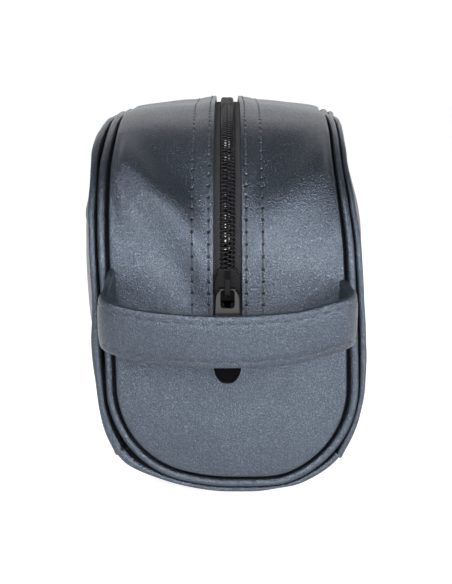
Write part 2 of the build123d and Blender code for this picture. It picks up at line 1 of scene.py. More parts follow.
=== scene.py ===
"""Looks of a soft leather zipper pouch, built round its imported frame.

The skins are modelled flat, as a maker cuts them: x across the band, s along its middle line from
the front seam, v out of the band. They are then wrapped onto the pouch's form. Lengths are in
millimetres until a mesh is finished, and in metres from then on.
"""

import logging
import math
from dataclasses import dataclass
from enum import Enum
from typing import Callable, Iterable

import bmesh
import bpy
from mathutils import Matrix, Vector, noise


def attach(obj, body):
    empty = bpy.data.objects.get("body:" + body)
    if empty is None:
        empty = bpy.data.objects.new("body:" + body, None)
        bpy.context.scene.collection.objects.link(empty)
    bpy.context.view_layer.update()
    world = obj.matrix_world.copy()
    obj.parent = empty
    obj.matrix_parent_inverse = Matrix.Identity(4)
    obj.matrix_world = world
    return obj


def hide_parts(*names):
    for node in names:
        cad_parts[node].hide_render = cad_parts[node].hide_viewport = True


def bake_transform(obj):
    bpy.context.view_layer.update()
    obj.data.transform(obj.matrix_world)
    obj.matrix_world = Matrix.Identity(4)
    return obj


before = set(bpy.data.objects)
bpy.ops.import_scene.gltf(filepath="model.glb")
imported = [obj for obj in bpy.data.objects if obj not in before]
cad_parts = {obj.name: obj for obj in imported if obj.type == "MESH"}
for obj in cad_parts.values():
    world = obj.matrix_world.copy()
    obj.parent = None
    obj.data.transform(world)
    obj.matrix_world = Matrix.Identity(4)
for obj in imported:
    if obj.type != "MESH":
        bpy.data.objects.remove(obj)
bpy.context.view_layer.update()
log = logging.getLogger("pouch")

MM = 0.001
TAU = 2 * math.pi
# A place inside the pouch, in metres
INSIDE = Vector((0, 0, 0.07))
# Distances in millimetres: two flat places count as one line, and two points as one
NEAR = 0.1
SAME_POINT = 0.004
SAME_TUBE_POINT = 0.0005


# Form of the pouch


def ease(t: float) -> float:
    """Smooth step from 0 to 1, level at both ends."""
    t = min(max(t, 0.0), 1.0)
    return t * t * (3 - 2 * t)


@dataclass(frozen=True)
class Swell:
    """Bell-shaped rise, or dent where its height is negative."""

    place: float
    height: float
    width: float

    def at(self, where: float) -> float:
        """Height at a place."""
        return self.height * math.exp(-(((where - self.place) / self.width) ** 2))


@dataclass(frozen=True)
class Climb:
    """Smooth step up to a height, from a start and over a length."""

    height: float
    start: float
    length: float

    def at(self, where: float) -> float:
        """Height at a place."""
        return self.height * ease((where - self.start) / self.length)


@dataclass(frozen=True)
class Sag:
    """How the filled front end leans, tilts and drops.

    front and all_but_back are read towards the front, the tilts, inner_drop and outer_rise across
    the pouch, and the others up from the table.
    """

    most_reach: float = 1.1
    front: Climb = Climb(1.0, 10.0, 90.0)
    all_but_back: Climb = Climb(1.0, -45.0, 60.0)
    low_lean: float = 1.7
    lean_turn: Climb = Climb(2.7, 38.0, 75.0)
    low_end: Climb = Climb(1.0, 22.0, 40.0)
    left_tilt: Climb = Climb(1.35, 0.0, 16.0)
    right_tilt: Climb = Climb(1.25, 8.0, 16.0)
    off_table: Climb = Climb(1.0, 0.6, 4.0)
    right_inset: Climb = Climb(-2.9, 90.0, 40.0)
    left_inset: Climb = Climb(0.8, 122.0, 14.0)
    top_share: Climb = Climb(1.0, 108.0, 26.0)
    rim_drop: float = 2.3
    rim_power: float = 2.4
    inner_drop: Climb = Climb(1.2, 6.0, 10.0)
    outer_rise: Climb = Climb(1.0, 26.0, 16.0)


@dataclass(frozen=True)
class Form:
    """Main sizes of the pouch in millimetres, and the ways from the flat pattern to its form."""

    length: float = 230.0
    half_width: float = 45.7
    rise: float = 3.6
    crown: float = 5.0
    shoulder_z: float = 80.5
    shoulder_radius: float = 61.2
    shoulder_deg: float = 75.0
    top_radius: float = 142.0
    corner_radius: float = 37.4
    band_flat: float = 15.0
    edge_slope_deg: float = 10.5
    edge_radius: float = 3.4
    piping_radius: float = 1.65
    rim_overlap: float = 0.25
    slot_half: float = 5.4
    slot_end_z: float = 60.0
    sag: Sag = Sag()

    @property
    def end_y(self) -> float:
        """Plane of the front piping."""
        return -(self.length / 2 - self.crown)

    @property
    def corner_x(self) -> float:
        """Centre of a lower corner, across the pouch."""
        return self.half_width - self.corner_radius

    @property
    def corner_z(self) -> float:
        """Centre of a lower corner, up from the table."""
        return self.rise + self.corner_radius

    @property
    def shoulder_y(self) -> float:
        """Centre of the shoulder's bend."""
        return -self.length / 2 + self.shoulder_radius

    @property
    def wall_x(self) -> float:
        """Outer face of the side panels."""
        return self.half_width + self.rise

    @property
    def upright(self) -> float:
        """Length of the upright run, from the lower seam to the shoulder."""
        return self.shoulder_z - self.rise

    @property
    def first_arc(self) -> float:
        """Length of the shoulder at the piping's height."""
        return (self.shoulder_radius - self.crown) * math.radians(self.shoulder_deg)

    @property
    def second_arc(self) -> float:
        """Length of the slow bend at the piping's height."""
        return (self.top_radius - self.crown) * math.radians(90 - self.shoulder_deg)

    @property
    def top_y(self) -> float:
        """Where the flat top starts."""
        return self.shoulder_y + (self.top_radius - self.shoulder_radius) * math.cos(
            math.radians(self.shoulder_deg)
        )

    @property
    def top_center_z(self) -> float:
        """Height of the slow bend's centre."""
        return self.shoulder_z - (self.top_radius - self.shoulder_radius) * math.sin(
            math.radians(self.shoulder_deg)
        )

    @property
    def half_path(self) -> float:
        """Length of the band from the front seam to the middle of the top."""
        return self.upright + self.first_arc + self.second_arc - self.top_y

    @property
    def whole_path(self) -> float:
        """Length of the band from the front seam to the back seam."""
        return 2 * self.half_path

    @property
    def slot_start(self) -> float:
        """Where the slot starts along the band."""
        return self.slot_end_z - self.rise

    def spine(self, s: float) -> tuple[Vector, Vector]:
        """Point on the piping's height over the middle line, and the way out of the band there.

        Args:
            s: Distance along the band from the front seam.

        Returns:
            The point and the outward direction, both with x at zero.
        """
        if s > self.half_path:
            point, out = self.spine(self.whole_path - s)
            return Vector((0, -point.y, point.z)), Vector((0, -out.y, out.z))
        if s < self.upright:
            return Vector((0, self.end_y, self.rise + s)), Vector((0, -1, 0))
        s -= self.upright
        if s < self.first_arc:
            radius = self.shoulder_radius - self.crown
            angle = s / radius
            center = Vector((0, self.shoulder_y, self.shoulder_z))
        elif s < self.first_arc + self.second_arc:
            radius = self.top_radius - self.crown
            angle = math.radians(self.shoulder_deg) + (s - self.first_arc) / radius
            center = Vector((0, self.top_y, self.top_center_z))
        else:
            y = self.top_y + s - self.first_arc - self.second_arc
            return Vector((0, y, self.top_center_z + self.top_radius - self.crown)), Vector((0, 0, 1))
        out = Vector((0, -math.cos(angle), math.sin(angle)))
        return center + out * radius, out

    def wrap(self, p: Vector) -> Vector:
        """Flat pattern point (x, s, v) laid onto the pouch, in millimetres."""
        point, out = self.spine(p.y)
        return self.slump(Vector((p.x, 0, 0)) + point + out * p.z)

    def slump(self, p: Vector) -> Vector:
        """Moves a point as the filled front end sags: low edges to the right, high ones to the left.

        Args:
            p: Point of the even form.

        Returns:
            The moved point.
        """
        sag = self.sag
        reach = min(abs(p.x) / self.half_width, sag.most_reach)
        edge = reach**2
        lean = (sag.low_lean - sag.lean_turn.at(p.z)) * edge
        tilt = sag.left_tilt.at(-p.x) - sag.right_tilt.at(p.x) * sag.off_table.at(p.z)
        inset = (sag.right_inset if p.x > 0 else sag.left_inset).at(p.z) * edge
        fall = sag.rim_drop * reach**sag.rim_power
        fall += sag.inner_drop.at(abs(p.x)) * (1 - sag.outer_rise.at(abs(p.x)))
        front = sag.front.at(-p.y)
        across = lean * front + inset * sag.all_but_back.at(-p.y)
        up = tilt * (1.0 - sag.low_end.at(p.z)) * front - fall * sag.top_share.at(p.z)
        return p + Vector((across, 0, up))

    def flat_place(self, distance: float, height: float) -> float:
        """Place s of a length measured at a height, along the zipper from the shoulder's start.

        Args:
            distance: Length along the zipper, negative below the shoulder.
            height: Height out of the band at which the length is measured.

        Returns:
            The place s in the flat pattern.
        """
        grown = 1 + height / (self.shoulder_radius - self.crown)
        slow = 1 + height / (self.top_radius - self.crown)
        half = self.first_arc * grown + self.second_arc * slow - self.top_y
        if distance > half:
            return self.whole_path - self.flat_place(2 * half - distance, height)
        if distance <= 0:
            return self.upright + distance
        if distance <= self.first_arc * grown:
            return self.upright + distance / grown
        rest = distance - self.first_arc * grown
        if rest <= self.second_arc * slow:
            return self.upright + self.first_arc + rest / slow
        return self.upright + self.first_arc + self.second_arc + rest - self.second_arc * slow

    def zipper_length(self, height: float) -> float:
        """Length of the zipper between both shoulders' starts, measured at a height."""
        grown = 1 + height / (self.shoulder_radius - self.crown)
        slow = 1 + height / (self.top_radius - self.crown)
        return 2 * (self.first_arc * grown + self.second_arc * slow - self.top_y)

    def rim_frame(self, y: float, z: float) -> tuple[float, float, float]:
        """Where a point of the side wall stands to the piping over it.

        Args:
            y: Place along the pouch.
            z: Height.

        Returns:
            Distance inwards from the piping's line, and the outward way along y and z.
        """
        back = 1.0 if y > 0 else -1.0
        front_y = -abs(y)
        if z <= self.shoulder_z:
            return front_y - self.end_y, back, 0.0
        first = Vector((front_y - self.shoulder_y, z - self.shoulder_z, 0))
        if math.degrees(math.atan2(first.y, -first.x)) <= self.shoulder_deg:
            reach = first.length
            return self.shoulder_radius - self.crown - reach, -back * first.x / reach, first.y / reach
        if front_y < self.top_y:
            second = Vector((front_y - self.top_y, z - self.top_center_z, 0))
            reach = second.length
            return self.top_radius - self.crown - reach, -back * second.x / reach, second.y / reach
        return self.top_center_z + self.top_radius - self.crown - z, 0.0, 1.0

    def seam_distance(self, x: float, s: float) -> float:
        """Distance in the flat pattern from the piping's line.

        Args:
            x: Place across the band.
            s: Place along the band.

        Returns:
            The distance inwards.
        """
        s = min(s, self.whole_path - s)
        deep = self.corner_radius - s
        if deep <= 0:
            return self.half_width - abs(x)
        wide = abs(x) - self.corner_x
        if wide <= 0:
            return s
        return self.corner_radius - math.hypot(wide, deep)

    def inward(self, x: float, s: float) -> Vector:
        """Way from the piping's line towards the band's middle, in the flat pattern.

        Args:
            x: Place across the band.
            s: Place along the band.

        Returns:
            The way, of length 1.
        """
        step = 0.05
        across = self.seam_distance(x + step, s) - self.seam_distance(x - step, s)
        along = self.seam_distance(x, s + step) - self.seam_distance(x, s - step)
        return Vector((across, along, 0)).normalized()

    def crown_height(self, inner: float) -> float:
        """Height of the band's face over the piping line, this far inside the seam.

        Args:
            inner: Distance inwards from the piping's line.

        Returns:
            The height, which falls into the groove beside the piping.
        """
        slope = math.radians(self.edge_slope_deg)
        shoulder = self.piping_radius - self.rim_overlap + self.edge_radius
        reach = (self.half_width - shoulder - self.band_flat) / math.sin(slope)
        crown_radius = reach + self.edge_radius
        off_flat = max(self.half_width - inner - self.band_flat, 0.0)
        rim = shoulder - self.edge_radius * math.sin(slope)
        if inner >= rim:
            return self.crown - crown_radius + math.sqrt(crown_radius**2 - off_flat**2)
        low = self.crown - crown_radius + reach * math.cos(slope)
        just_inside = 0.999
        across = min(shoulder - inner, self.edge_radius * just_inside)
        return low + math.sqrt(self.edge_radius**2 - across**2)


FORM = Form()


# Meshes


def ripple(p: Vector, scale: float, seed: float, depth: int) -> float:
    """Soft random waves from -1 to 1.

    Args:
        p: Place in millimetres.
        scale: Size of the largest wave in millimetres.
        seed: Moves the pattern, so that two pieces differ.
        depth: Number of finer waves laid on the first.

    Returns:
        The wave's height at p.
    """
    q = Vector((p.x + seed * 17.3, p.y - seed * 9.1, p.z + seed * 5.7)) / scale
    return noise.fractal(q, 0.9, 2.0, depth, noise_basis="PERLIN_ORIGINAL")


@dataclass(frozen=True)
class Waves:
    """Soft random waves of a height and a size, the same for the same seed."""

    height: float
    scale: float
    seed: float
    depth: int = 2

    def at(self, p: Vector) -> float:
        """Height at a place."""
        return ripple(p, self.scale, self.seed, self.depth) * self.height


def grid_mesh(columns: int, rows: int, place: Callable[[int, int], Vector]) -> bmesh.types.BMesh:
    """Sheet of square faces with each crossing put in its place.

    Args:
        columns: Crossings across.
        rows: Crossings along.
        place: Gives the place of a crossing from its column and row.

    Returns:
        The sheet, with its faces outwards where place is right-handed.
    """
    bm = bmesh.new()
    bmesh.ops.create_grid(bm, x_segments=columns - 1, y_segments=rows - 1, size=0.5)
    for vertex in bm.verts:
        column = round((vertex.co.x + 0.5) * (columns - 1))
        row = round((vertex.co.y + 0.5) * (rows - 1))
        vertex.co = place(column, row)
    return bm


def finish_mesh(
    bm: bmesh.types.BMesh,
    name: str,
    wrap: Callable[[Vector], Vector] | None = None,
    levels: int = 0,
    thickness: float = 0.0,
    recalc: bool = True,
    smooth: bool = True,
) -> bpy.types.Object:
    """Object from a flat or placed mesh, in metres at the origin.

    Args:
        bm: Mesh in millimetres, which is freed.
        name: Name of the piece.
        wrap: Lays each point onto the pouch.
        levels: Subdivision levels.
        thickness: Leather thickness added inwards.
        recalc: Turns the faces outwards.
        smooth: Shades the faces smoothly.

    Returns:
        The linked object.
    """
    if wrap:
        chart = bm.loops.layers.uv.new("UVMap")
        for face in bm.faces:
            for corner in face.loops:
                corner[chart].uv = (corner.vert.co.x * MM, corner.vert.co.y * MM)
        for vertex in bm.verts:
            vertex.co = wrap(vertex.co)
    bmesh.ops.remove_doubles(bm, verts=bm.verts, dist=SAME_POINT)
    if recalc:
        bmesh.ops.recalc_face_normals(bm, faces=bm.faces)
    bmesh.ops.scale(bm, vec=(MM, MM, MM), verts=bm.verts)
    mesh = bpy.data.meshes.new(name)
    bm.to_mesh(mesh)
    bm.free()
    for polygon in mesh.polygons:
        polygon.use_smooth = smooth
    piece = bpy.data.objects.new(name, mesh)
    bpy.context.scene.collection.objects.link(piece)
    if thickness:
        wall = piece.modifiers.new("leather", "SOLIDIFY")
        wall.thickness = thickness * MM
        wall.offset = -1.0
        wall.use_even_offset = False
    if levels:
        surface = piece.modifiers.new("surface", "SUBSURF")
        surface.levels = levels
        surface.render_levels = levels
    return piece


def orient(piece: bpy.types.Object) -> None:
    """Turns an open skin so that most of its faces look away from the pouch's inside.

    Args:
        piece: The skin, in metres.
    """
    bm = bmesh.new()
    bm.from_mesh(piece.data)
    bm.normal_update()
    flips = [f for f in bm.faces if f.normal.dot(f.calc_center_median() - INSIDE) < 0]
    if len(flips) > len(bm.faces) / 2:
        bmesh.ops.reverse_faces(bm, faces=bm.faces)
    bm.to_mesh(piece.data)
    bm.free()


def face_flat_up(bm: bmesh.types.BMesh) -> None:
    """Turns a flat-pattern sheet so that most faces look out of the band.

    Args:
        bm: The sheet.
    """
    bm.normal_update()
    up = sum(1 if f.normal.z > 0 else -1 for f in bm.faces)
    if up < 0:
        bmesh.ops.reverse_faces(bm, faces=bm.faces)


def tube(
    path: Iterable[Vector],
    sideways: Iterable[Vector],
    up: Iterable[Vector],
    outline: Callable[[int, float], tuple[float, float]],
    sides: int,
    closed: bool,
) -> bmesh.types.BMesh:
    """Tube swept along a path.

    Args:
        path: Points of the middle line.
        sideways: First direction of the cross-section at each point.
        up: Second direction of the cross-section at each point.
        outline: Gives the cross-section's point from the path's index and the turn in radians.
        sides: Faces round the tube.
        closed: Whether the path ends where it starts.

    Returns:
        The tube, with its ends capped unless it is closed.
    """
    stations = list(zip(path, sideways, up))
    rows = len(stations) + (1 if closed else 0)

    def place(column: int, row: int) -> Vector:
        """Place of a crossing."""
        point, first, second = stations[row % len(stations)]
        a, b = outline(row % len(stations), TAU * column / sides)
        return point + first * a + second * b

    bm = grid_mesh(sides + 1, rows, place)
    bmesh.ops.remove_doubles(bm, verts=bm.verts, dist=SAME_TUBE_POINT)
    if not closed:
        bmesh.ops.holes_fill(bm, edges=[e for e in bm.edges if e.is_boundary], sides=0)
    return bm


def stamp(
    template: bpy.types.Mesh, whole: bmesh.types.BMesh, move: Callable[[Vector], Vector]
) -> None:
    """Adds a copy of a small mesh to a larger one.

    Args:
        template: Mesh of one stitch.
        whole: Mesh that it is added to.
        move: Puts each of its points in place.
    """
    start = len(whole.verts)
    whole.from_mesh(template)
    whole.verts.ensure_lookup_table()
    for vertex in whole.verts[start:]:
        vertex.co = move(vertex.co)


def extend(bm: bmesh.types.BMesh, edges: list) -> tuple[list, list]:
    """Adds a row of faces along open edges.

    Args:
        bm: The mesh.
        edges: Its open edges.

    Returns:
        The new open edges, and their points, which still have to be moved.
    """
    made = bmesh.ops.extrude_edge_only(bm, edges=edges)["geom"]
    new_edges = [g for g in made if isinstance(g, bmesh.types.BMEdge)]
    return new_edges, [g for g in made if isinstance(g, bmesh.types.BMVert)]


def open_edges(bm: bmesh.types.BMesh, wanted: Callable[[Vector], bool]) -> list:
    """Open edges whose points are both wanted."""
    return [e for e in bm.edges if e.is_boundary and all(wanted(v.co) for v in e.verts)]


def loop_path(inner: float, step: float) -> list[Vector]:
    """Closed path round the band's whole edge, a distance inside the piping's line.

    Args:
        inner: Distance inwards from the piping's line.
        step: Spacing of its points.

    Returns:
        Points (x, s, 0), from the front seam's middle up the right side.
    """
    radius = FORM.corner_radius - inner
    flat = FORM.corner_x
    straight = FORM.whole_path - 2 * FORM.corner_radius
    quarter = radius * math.pi / 2
    runs = [flat, quarter, straight, quarter, flat]
    half: list[Vector] = []
    for index, length in enumerate(runs):
        count = max(int(round(length / step)), 1)
        for i in range(count):
            t = i / count
            turn = t * math.pi / 2
            if index == 0:
                half.append(Vector((flat * t, inner, 0)))
            elif index == 1:
                x = flat + radius * math.sin(turn)
                half.append(Vector((x, FORM.corner_radius - radius * math.cos(turn), 0)))
            elif index == 2:
                half.append(Vector((flat + radius, FORM.corner_radius + straight * t, 0)))
            elif index == 3:
                x = flat + radius * math.cos(turn)
                s = FORM.whole_path - FORM.corner_radius + radius * math.sin(turn)
                half.append(Vector((x, s, 0)))
            else:
                half.append(Vector((flat * (1 - t), FORM.whole_path - inner, 0)))
    half.append(Vector((0, FORM.whole_path - inner, 0)))
    left = [Vector((-p.x, p.y, 0)) for p in reversed(half[1:-1])]
    return half + left


# Materials


class Wire:
    """A number's socket that takes part in Python sums, each of which adds its Math node."""

    def __init__(self, owner: "Nodes", socket: bpy.types.NodeSocket) -> None:
        """Keeps the socket and the nodes that it belongs to."""
        self.owner = owner
        self.socket = socket

    def _sum(self, operation: str, *values: "Wire | float") -> "Wire":
        """Adds a Math node."""
        return self.owner.node("ShaderNodeMath", {"operation": operation}, dict(enumerate(values))).out(0)

    def __add__(self, other: "Wire | float") -> "Wire":
        """Sum."""
        return self._sum("ADD", self, other)

    __radd__ = __add__

    def __sub__(self, other: "Wire | float") -> "Wire":
        """Difference."""
        return self._sum("SUBTRACT", self, other)

    def __rsub__(self, other: float) -> "Wire":
        """Difference from a number."""
        return self._sum("SUBTRACT", other, self)

    def __mul__(self, other: "Wire | float") -> "Wire":
        """Product."""
        return self._sum("MULTIPLY", self, other)

    __rmul__ = __mul__

    def power(self, exponent: float) -> "Wire":
        """Power."""
        return self._sum("POWER", self, exponent)

    def sine(self) -> "Wire":
        """Sine."""
        return self._sum("SINE", self)

    def absolute(self) -> "Wire":
        """Size without sign."""
        return self._sum("ABSOLUTE", self)

    def clamp(self) -> "Wire":
        """The value held between 0 and 1."""
        settings = {"operation": "ADD", "use_clamp": True}
        return self.owner.node("ShaderNodeMath", settings, {0: self, 1: 0.0}).out(0)


class Made:
    """A node that has been added."""

    def __init__(self, owner: "Nodes", node: bpy.types.Node) -> None:
        """Keeps the node and the nodes that it belongs to."""
        self.owner = owner
        self.node = node

    def out(self, key: int | str) -> Wire:
        """One of the node's outputs."""
        return Wire(self.owner, self.node.outputs[key])


class Nodes:
    """The nodes of a material or of the surroundings, which all come from one method."""

    def __init__(self, tree: bpy.types.NodeTree) -> None:
        """Keeps the tree."""
        self.tree = tree

    def node(self, kind: str, settings: dict | None = None, inputs: dict | None = None) -> Made:
        """Adds a node.

        Args:
            kind: The node's type.
            settings: Its own settings, with a ramp's stops as a list of place and colour.
            inputs: Values or wires for its sockets.

        Returns:
            The node.
        """
        made = self.tree.nodes.new(kind)
        for key, value in (settings or {}).items():
            if key == "stops":
                for element, (place, colour) in zip(made.color_ramp.elements, value):
                    element.position = place
                    element.color = colour
            else:
                setattr(made, key, value)
        for key, value in (inputs or {}).items():
            if isinstance(value, Wire):
                self.tree.links.new(value.socket, made.inputs[key])
            else:
                made.inputs[key].default_value = value
        return Made(self, made)

    def ramp(self, value: Wire, first: tuple[float, tuple], second: tuple[float, tuple]) -> Wire:
        """Colour from a value, by two stops."""
        return self.node("ShaderNodeValToRGB", {"stops": [first, second]}, {0: value}).out(0)

    def dot(self, where: Wire, way: Vector) -> Wire:
        """How far a vector goes along a way."""
        made = self.node("ShaderNodeVectorMath", {"operation": "DOT_PRODUCT"}, {0: where, 1: way})
        return made.out("Value")


class Finish(Nodes):
    """A material made of nodes: sockets are named by the shader's own names."""

    def __init__(self, name: str, **constants: object) -> None:
        """Starts the material.

        Args:
            name: The material's name.
            constants: Values for the shader's own sockets, spaces as underscores.
        """
        self.material = bpy.data.materials.new(name)
        self.material.use_nodes = True
        super().__init__(self.material.node_tree)
        self.shader = self.tree.nodes["Principled BSDF"]
        for key, value in constants.items():
            self.shader.inputs[key.replace("_", " ")].default_value = value

    def place(self) -> Wire:
        """Object coordinates, in metres in the pouch's own frame."""
        return self.node("ShaderNodeTexCoord").out("Object")

    def flat(self) -> Wire:
        """The piece's own flat pattern coordinates."""
        return self.node("ShaderNodeUVMap", {"uv_map": "UVMap"}).out("UV")

    def noise(self, where: Wire, scale: float, detail: float = 3.0, rough: float = 0.5) -> Wire:
        """Soft random field from 0 to 1."""
        inputs = {"Vector": where, "Scale": scale, "Detail": detail, "Roughness": rough}
        return self.node("ShaderNodeTexNoise", None, inputs).out(0)

    def cells(self, where: Wire, scale: float, feature: str, output: str) -> Wire:
        """Cell pattern."""
        inputs = {"Vector": where, "Scale": scale}
        return self.node("ShaderNodeTexVoronoi", {"feature": feature}, inputs).out(output)

    def blend(self, share: Wire | float, first: Wire | tuple, second: Wire | tuple) -> Wire:
        """Mix of two colours."""
        made = self.node("ShaderNodeMix", {"data_type": "RGBA"}, {0: share, 6: first, 7: second})
        return made.out(2)

    def stretch(self, where: Wire, scale: tuple) -> Wire:
        """Coordinates stretched along each axis."""
        return self.node("ShaderNodeMapping", None, {0: where, 3: scale}).out(0)

    def axes(self, where: Wire) -> tuple[Wire, Wire, Wire]:
        """The three numbers of a vector."""
        made = self.node("ShaderNodeSeparateXYZ", None, {0: where})
        return made.out(0), made.out(1), made.out(2)

    def bump(self, height: Wire, strength: float, distance: float) -> Wire:
        """Bumped normal from a height, of which 1 stands for the distance, in metres."""
        inputs = {"Height": height, "Strength": strength, "Distance": distance}
        return self.node("ShaderNodeBump", None, inputs).out(0)

    def set(self, **wires: Wire) -> None:
        """Links wires to the shader's own sockets."""
        for key, wire in wires.items():
            self.tree.links.new(wire.socket, self.shader.inputs[key.replace("_", " ")])


def rgb(red: float, green: float, blue: float) -> tuple[float, float, float, float]:
    """Opaque colour."""
    return (red, green, blue, 1.0)


@dataclass(frozen=True)
class PearlLeather:
    """Dark gunmetal leather with a pearl coat and a fine sparkling grain. Lengths are in metres."""

    deep: tuple = rgb(0.045, 0.056, 0.074)
    light: tuple = rgb(0.077, 0.093, 0.118)
    glint: tuple = rgb(0.34, 0.39, 0.46)
    glint_share: float = 0.27
    # Near-black painted shade inside the needle holes
    hole_painted_shade: tuple = rgb(0.006, 0.006, 0.007)
    hole_radius: float = 0.00055
    hole_depth: float = 2.0
    hole_end: float = 400.0
    grain_scale: float = 2000.0
    grain_strength: float = 0.72
    grain_height: float = 0.0005
    cloud_scale: float = 26.0
    rough: float = 0.33
    metal: float = 0.78
    sheen: float = 0.01
    coat: float = 0.12

    def material(
        self, name: str, seed: float = 0.0, rows: tuple = (), pitch: float = 0.0042
    ) -> bpy.types.Material:
        """Makes the leather.

        Args:
            name: The material's name.
            seed: Shifts the grain.
            rows: Distances of the stitch rows from the piece's middle line.
            pitch: Stitch length.

        Returns:
            The material.
        """
        made = Finish(
            name,
            Specular_IOR_Level=0.55,
            Coat_Roughness=0.32,
            Coat_Weight=self.coat,
            Sheen_Weight=self.sheen,
            Sheen_Roughness=0.45,
        )
        where = made.stretch(made.place(), (1 + seed * 0.01, 1, 1))
        pebbles = made.cells(where, self.grain_scale, "SMOOTH_F1", "Distance")
        creases = made.cells(where, self.grain_scale * 0.45, "DISTANCE_TO_EDGE", "Distance")
        fine = made.noise(where, self.grain_scale * 2.2, 2.0, 0.6)
        cloudy = made.noise(where, self.cloud_scale, 4.0, 0.55)
        flecks = made.cells(where, self.grain_scale * 1.6, "F1", "Color")
        sparkle = made.ramp(flecks, (0.45, rgb(0, 0, 0)), (0.95, rgb(1, 1, 1)))
        body = made.blend(cloudy, self.deep, self.light)
        speckled = made.blend(sparkle * self.glint_share, body, self.glint)
        height = pebbles * 0.6 + creases * 0.5 + fine * 0.35
        for row in rows:
            holes = self.needle_holes(made, row, pitch)
            # Each needle hole is painted near-black as the shade inside it, and dented in the bump below
            speckled = made.blend(holes * 0.85, speckled, self.hole_painted_shade)
            height = height - holes * self.hole_depth
        made.set(
            Base_Color=speckled,
            Roughness=self.rough - sparkle * 0.10 + fine * 0.05,
            Metallic=self.metal + sparkle * 0.2,
            Normal=made.bump(height, self.grain_strength, self.grain_height),
        )
        return made.material

    def needle_holes(self, made: Finish, row: float, pitch: float) -> Wire:
        """Round holes between the stitches of the two rows at a distance from the middle line.

        Args:
            made: The leather being made.
            row: Distance of the row from the middle line.
            pitch: Stitch length.

        Returns:
            1 in a hole, 0 on the leather round it.
        """
        across, along, _ = made.axes(made.flat())
        off = (across.absolute() - row) * (1 / self.hole_radius)
        near = (1.0 - (off * off)).clamp()
        turns = (along * (TAU / pitch) - math.pi / 2).sine() * 0.5 + 0.5
        first = FORM.slot_start * MM
        last = FORM.whole_path * MM - first
        after_first = ((along - first) * self.hole_end).clamp()
        before_last = ((last - along) * self.hole_end).clamp()
        return near * turns.power(9.0) * (after_first * before_last)


@dataclass(frozen=True)
class BlackTape:
    """Black woven zipper tape with a twill that leans both ways from the chain. Pitches are in metres."""

    tint: tuple = rgb(0.010, 0.010, 0.012)
    thread: tuple = rgb(0.13, 0.13, 0.145)
    rib_pitch: float = 0.0011
    yarn_pitch: float = 0.00045
    fuzz_scale: float = 2600.0

    def material(self) -> bpy.types.Material:
        """Makes the tape."""
        made = Finish("zipper_tape_twill", Sheen_Weight=0.08, Specular_IOR_Level=0.3)
        across, along, _ = made.axes(made.flat())
        lean = (across.absolute() + along) * (TAU / self.rib_pitch)
        ribs = lean.sine() * 0.5 + 0.5
        yarn = (along * (TAU / self.yarn_pitch)).sine() * 0.5 + 0.5
        fuzz = made.noise(made.place(), self.fuzz_scale, 2.0)
        weave = ribs * 0.7 + yarn * 0.3
        made.set(
            Base_Color=made.blend(weave * fuzz, self.tint, self.thread),
            Roughness=0.85 - ribs * 0.2,
            Normal=made.bump(weave + fuzz * 0.3, 0.8, 0.0003),
        )
        return made.material


@dataclass(frozen=True)
class BlackGloss:
    """Glossy black paint or nylon, with faint wear and dust in its roughness."""

    name: str
    tint: tuple = rgb(0.009, 0.009, 0.010)
    rough: float = 0.14
    coat: float = 0.1
    dust_tint: tuple = rgb(0.02, 0.02, 0.022)
    dust_scale: float = 3100.0
    smear_scale: float = 420.0

    def material(self) -> bpy.types.Material:
        """Makes the gloss."""
        made = Finish(self.name, Coat_Weight=self.coat, Coat_Roughness=0.03, Specular_IOR_Level=0.07)
        where = made.place()
        smear = made.noise(where, self.smear_scale, 4.0, 0.6)
        dust = made.noise(where, self.dust_scale, 2.0, 0.7)
        made.set(
            Base_Color=made.blend(dust * 0.12, self.tint, self.dust_tint),
            Roughness=self.rough + smear * 0.10,
            Normal=made.bump(smear + dust * 0.2, 0.06, 0.0004),
        )
        return made.material


@dataclass(frozen=True)
class Thread:
    """Dark bonded thread with a twisted ply."""

    tint: tuple = rgb(0.010, 0.011, 0.014)
    worn: tuple = rgb(0.04, 0.043, 0.052)
    ply_scale: float = 3600.0

    def material(self) -> bpy.types.Material:
        """Makes the thread."""
        made = Finish("stitch_thread", Specular_IOR_Level=0.5, Sheen_Weight=0.2)
        ply = made.noise(made.place(), self.ply_scale, 2.0)
        made.set(
            Base_Color=made.blend(ply, self.tint, self.worn),
            Roughness=0.42 + ply * 0.2,
            Normal=made.bump(ply, 0.5, 0.0002),
        )
        return made.material


@dataclass(frozen=True)
class LiningCloth:
    """Plain woven dark lining."""

    name: str
    tint: tuple = rgb(0.02, 0.02, 0.024)
    thread: tuple = rgb(0.09, 0.09, 0.10)
    weave_scale: float = 9000.0
    fuzz_scale: float = 900.0

    def material(self) -> bpy.types.Material:
        """Makes the cloth."""
        made = Finish(self.name, Sheen_Weight=0.25, Specular_IOR_Level=0.25)
        where = made.place()
        x, y, z = made.axes(where)
        warp = ((x + z) * self.weave_scale).sine() * 0.5 + 0.5
        weft = (y * self.weave_scale).sine() * 0.5 + 0.5
        fuzz = made.noise(where, self.fuzz_scale, 3.0)
        weave = warp * 0.5 + weft * 0.5
        made.set(
            Base_Color=made.blend(weave * fuzz, self.tint, self.thread),
            Roughness=0.9 - weave * 0.1,
            Normal=made.bump(weave, 0.6, 0.0002),
        )
        return made.material


@dataclass(frozen=True)
class PaleFloor:
    """Plain pale floor, which also glows."""

    tint: tuple = rgb(0.60, 0.60, 0.60)
    cloud: tuple = rgb(0.58, 0.58, 0.58)
    glow: float = 0.83

    def material(self) -> bpy.types.Material:
        """Makes the floor's matte paint."""
        made = Finish(
            "pale_floor",
            Specular_IOR_Level=0.1,
            Emission_Color=rgb(1.0, 1.0, 1.0),
            Emission_Strength=self.glow,
        )
        cloudy = made.noise(made.place(), 2.0, 2.0)
        made.set(
            Base_Color=made.blend(cloudy, self.tint, self.cloud),
            Roughness=0.95 - cloudy * 0.05,
        )
        return made.material


